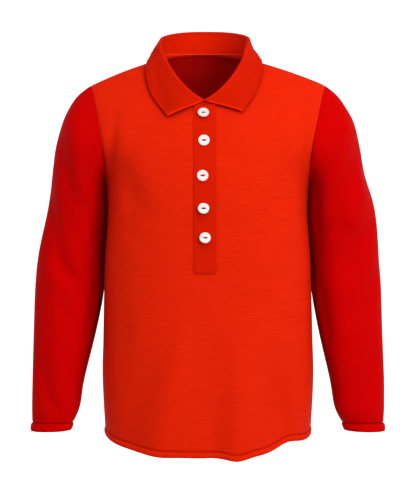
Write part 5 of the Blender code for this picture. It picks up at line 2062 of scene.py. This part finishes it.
@dataclass
class Button:
    """A round two-hole button with an eye-shaped dish, and its thread.

    Attributes:
        number: its place from the collar down.
        row: where it is.
        cloths: the materials.
    """

    number: int
    row: ButtonRow
    cloths: Cloths
    def placement(self) -> Matrix:
        """Where the solid's button stands, with its face along +Z of the result."""
        x, z = np.array(self.row.offset), np.array(self.row.height)
        point = TORSO_FORM.point(x, z, -1)
        normal = TORSO_FORM.normal(point)
        tip = math.radians(self.row.tip_degrees)
        foot = (BUTTON_RADIUS - BUTTON_RIM) * math.sin(tip)
        base = leaned(point + (2 * SEAM_GAP + PLACKET_CLOTH + foot) * normal)
        facing = Vector(normal).to_track_quat("Z", "Y").to_matrix().to_4x4()
        return Matrix.Translation(Vector(base)) @ facing @ Matrix.Rotation(-tip, 4, "X")

    def cut(self, disc: bpy.types.Object, cutter: bpy.types.Object) -> None:
        """Takes the cutter's shape out of the disc and removes the cutter."""
        choose(disc)
        taken = disc.modifiers.new("cut", "BOOLEAN")
        taken.operation, taken.solver, taken.object = "DIFFERENCE", "EXACT", cutter
        bpy.ops.object.modifier_apply(modifier=taken.name)
        bpy.data.objects.remove(cutter)

    def disc(self) -> bpy.types.Object:
        """The button's body in its own place, its foot at z 0."""
        bpy.ops.object.select_all(action="DESELECT")
        bpy.ops.mesh.primitive_cylinder_add(
            vertices=72,
            radius=BUTTON_RADIUS,
            depth=BUTTON_THICKNESS,
            location=(0, 0, BUTTON_THICKNESS / 2),
        )
        disc = bpy.context.object
        soft = disc.modifiers.new("rim", "BEVEL")
        soft.width, soft.segments, soft.limit_method = BUTTON_BEVEL, 4, "ANGLE"
        bpy.ops.object.modifier_apply(modifier=soft.name)
        floor = BUTTON_THICKNESS - DISH_DEPTH
        bpy.ops.mesh.primitive_uv_sphere_add(
            segments=96, ring_count=48, radius=DISH_RADIUS, location=(0, 0, floor + DISH_RADIUS)
        )
        self.cut(disc, bpy.context.object)
        bpy.ops.mesh.primitive_uv_sphere_add(
            segments=32, ring_count=16, radius=1.0, location=(0, 0, floor + EYE_ABOVE_FLOOR)
        )
        eye = bpy.context.object
        eye.scale = EYE_HALF_SIZE
        bpy.ops.object.transform_apply(location=False, rotation=False, scale=True)
        self.cut(disc, eye)
        for side in (-1, 1):
            bpy.ops.mesh.primitive_cylinder_add(
                vertices=20,
                radius=HOLE_RADIUS,
                depth=HOLE_CUT,
                location=(side * HOLE_OFFSET, 0, 0),
            )
            self.cut(disc, bpy.context.object)
        return disc

    def thread(self) -> bpy.types.Object:
        """Strands of thread from hole to hole, the middle ones a little higher."""
        curve = bpy.data.curves.new(f"button_thread_{self.number}", "CURVE")
        curve.dimensions = "3D"
        curve.bevel_depth, curve.bevel_resolution, curve.resolution_u = THREAD_RADIUS, 2, 8
        for aside, rise in THREAD_STRANDS:
            line = curve.splines.new("BEZIER")
            line.bezier_points.add(2)
            for knot in line.bezier_points:
                knot.handle_left_type = knot.handle_right_type = "FREE"
            left, middle, right = line.bezier_points
            top = THREAD_HEIGHT + rise
            at_hole = aside * THREAD_GATHERING
            for knot, x in ((left, -HOLE_OFFSET), (right, HOLE_OFFSET)):
                knot.co = (x, at_hole, THREAD_FOOT)
                knot.handle_left = knot.handle_right = (x, at_hole, THREAD_HEIGHT)
            middle.co = (0.0, aside, top)
            middle.handle_left = (-HOLE_OFFSET * 0.8, aside, top)
            middle.handle_right = (HOLE_OFFSET * 0.8, aside, top)
        curve.materials.append(self.cloths.dark_thread)
        thread = bpy.data.objects.new(curve.name, curve)
        bpy.context.scene.collection.objects.link(thread)
        choose(thread)
        bpy.ops.object.convert(target="MESH")
        return bpy.context.object

    def build(self) -> list[Piece]:
        """The button and its thread, moved to their place."""
        disc, thread = self.disc(), self.thread()
        disc.data.materials.clear()
        disc.data.materials.append(self.cloths.button)
        for obj, name in ((disc, "body"), (thread, "thread")):
            obj.data.transform(self.placement() @ obj.matrix_world)
            obj.matrix_world = Matrix.Identity(4)
            obj.name = obj.data.name = f"button_{name}_{self.number}"
            obj.data.shade_smooth()
            obj.data.set_sharp_from_angle(angle=math.radians(BUTTON_SHARP))
        return [
            Piece(disc, MaterialName.BUTTON, f"button_{self.number}"),
            Piece(thread, MaterialName.BUTTON),
        ]


class Studio:
    """The backdrop, the lights and the camera."""

    def backdrop(self) -> None:
        """A pale round floor that bends up into a wall all about. It gives off its own light."""
        bends = np.linspace(0, math.pi / 2, BACKDROP_BENDS)
        bent_reach = BACKDROP_DISTANCE - BACKDROP_RADIUS * (1 - np.sin(bends))
        bent_rise = FLOOR_HEIGHT + BACKDROP_RADIUS * (1 - np.cos(bends))
        reach = np.array([BACKDROP_CENTRE, *bent_reach, BACKDROP_DISTANCE])[:, None]
        rise = np.array([FLOOR_HEIGHT, *bent_rise, BACKDROP_TOP])[:, None]
        turns = np.linspace(0, 2 * math.pi, BACKDROP_SIDES + 1)[:-1]
        points = [reach * np.cos(turns), reach * np.sin(turns), rise + 0 * turns]
        quads = grid_quads(len(reach), BACKDROP_SIDES, True)[..., ::-1].reshape(-1, 4)
        faces = [list(range(BACKDROP_SIDES)), *quads.tolist()]
        graph = Graph("backdrop_paper")
        graph.feed(
            graph.surface,
            {
                "Base Color": (0.86, 0.86, 0.86, 1.0),
                "Roughness": 0.9,
                "Emission Color": (1.0, 1.0, 1.0, 1.0),
                "Emission Strength": 1.0,
            },
        )
        points = np.stack(points, axis=-1).reshape(-1, 3)
        wall = new_object("backdrop", points, faces, graph.material)
        wall.visible_diffuse = False
        wall.visible_shadow = False
        wall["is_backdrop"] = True

    def light(self, lamp: Lamp) -> None:
        """A square soft light that faces the shirt and isn't seen itself."""
        data = bpy.data.lights.new(lamp.name, "AREA")
        data.shape, data.size, data.energy = "SQUARE", lamp.size, lamp.watts
        light = bpy.data.objects.new(lamp.name, data)
        light.location = lamp.place
        aim = Vector((0.0, 0.0, CAMERA_HEIGHT)) - Vector(lamp.place)
        light.rotation_euler = aim.to_track_quat("-Z", "Y").to_euler()
        light.visible_camera = False
        bpy.context.scene.collection.objects.link(light)

    def air(self) -> None:
        """The soft light from all about, reddish as between red cloth."""
        world = bpy.data.worlds.new("studio_air")
        world.use_nodes = True
        background = world.node_tree.nodes["Background"]
        background.inputs["Color"].default_value = AIR_COLOUR
        background.inputs["Strength"].default_value = AIR_STRENGTH
        bpy.context.scene.world = world

    def camera(self) -> None:
        """The camera at the photo's angle: level, and straight at the front."""
        data = bpy.data.cameras.new("camera")
        data.sensor_width, data.lens = SENSOR_MM, LENS_MM
        data.clip_start, data.clip_end = 0.1, 30.0
        camera = bpy.data.objects.new("camera", data)
        camera.location = (0.0, -CAMERA_DISTANCE, CAMERA_HEIGHT)
        camera.rotation_euler = (math.pi / 2, 0.0, 0.0)
        bpy.context.scene.collection.objects.link(camera)
        bpy.context.scene.camera = camera

    def build(self) -> None:
        """Sets the whole studio."""
        self.backdrop()
        for lamp in LAMPS:
            self.light(lamp)
        self.air()
        self.camera()
        bpy.context.scene.view_settings.view_transform = "Standard"


def log_fit(piece: Piece) -> None:
    """Logs how far a piece's cloth lies from the solid that it stands for."""
    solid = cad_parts[piece.stands_for].data
    corners = [vertex.co for vertex in solid.vertices]
    tree = BVHTree.FromPolygons(corners, [face.vertices for face in solid.polygons])
    sample = [vertex.co for vertex in piece.obj.data.vertices][::FIT_SAMPLE]
    far = sorted(tree.find_nearest(place)[3] for place in sample)
    text = "%s lies within %.1f mm of its solid, and half of it within %.1f mm"
    log.info(text, piece.obj.name, far[-1] * 1000, far[len(far) // 2] * 1000)


Cut = namedtuple("Cut", "name flat held rests_on area with_pieces")


def main() -> None:
    """Builds the shirt over the frame, then its studio."""
    logging.basicConfig(level=logging.INFO, format="%(message)s")
    solid_low, solid_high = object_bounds()
    cloths = Cloths.make()
    front, back = BodyPanel(-1, FRONT_CREASES), BodyPanel(1, BACK_CREASES)
    placket = Placket(front)
    cloth = [
        front.build("front", cloths.body),
        back.build("back", cloths.body),
        Sleeve(RIGHT_FORM, RIGHT_SLEEVE_CREASES).build("sleeve_right", cloths.sleeve),
        Sleeve(LEFT_FORM, LEFT_SLEEVE_CREASES).build("sleeve_left", cloths.sleeve),
        Collar().build("collar", cloths.collar),
        placket.band("placket_outer", False, cloths.collar),
        placket.band("placket_under", True, cloths.collar),
    ]
    sewing = Sewing(cloths, front, back, placket).build()
    buttons = [p for n, row in enumerate(BUTTONS, start=1) for p in Button(n, row, cloths).build()]
    for piece in cloth + sewing + buttons:
        piece.enter()
    for piece in cloth:
        log_fit(piece)
    Studio().build()
    low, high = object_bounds()
    corners = [tuple(round(v, 4) for v in c) for c in (solid_low, solid_high, low, high)]
    log.info("solids %s to %s, shown %s to %s", *corners)


if __name__ == "__main__":
    main()
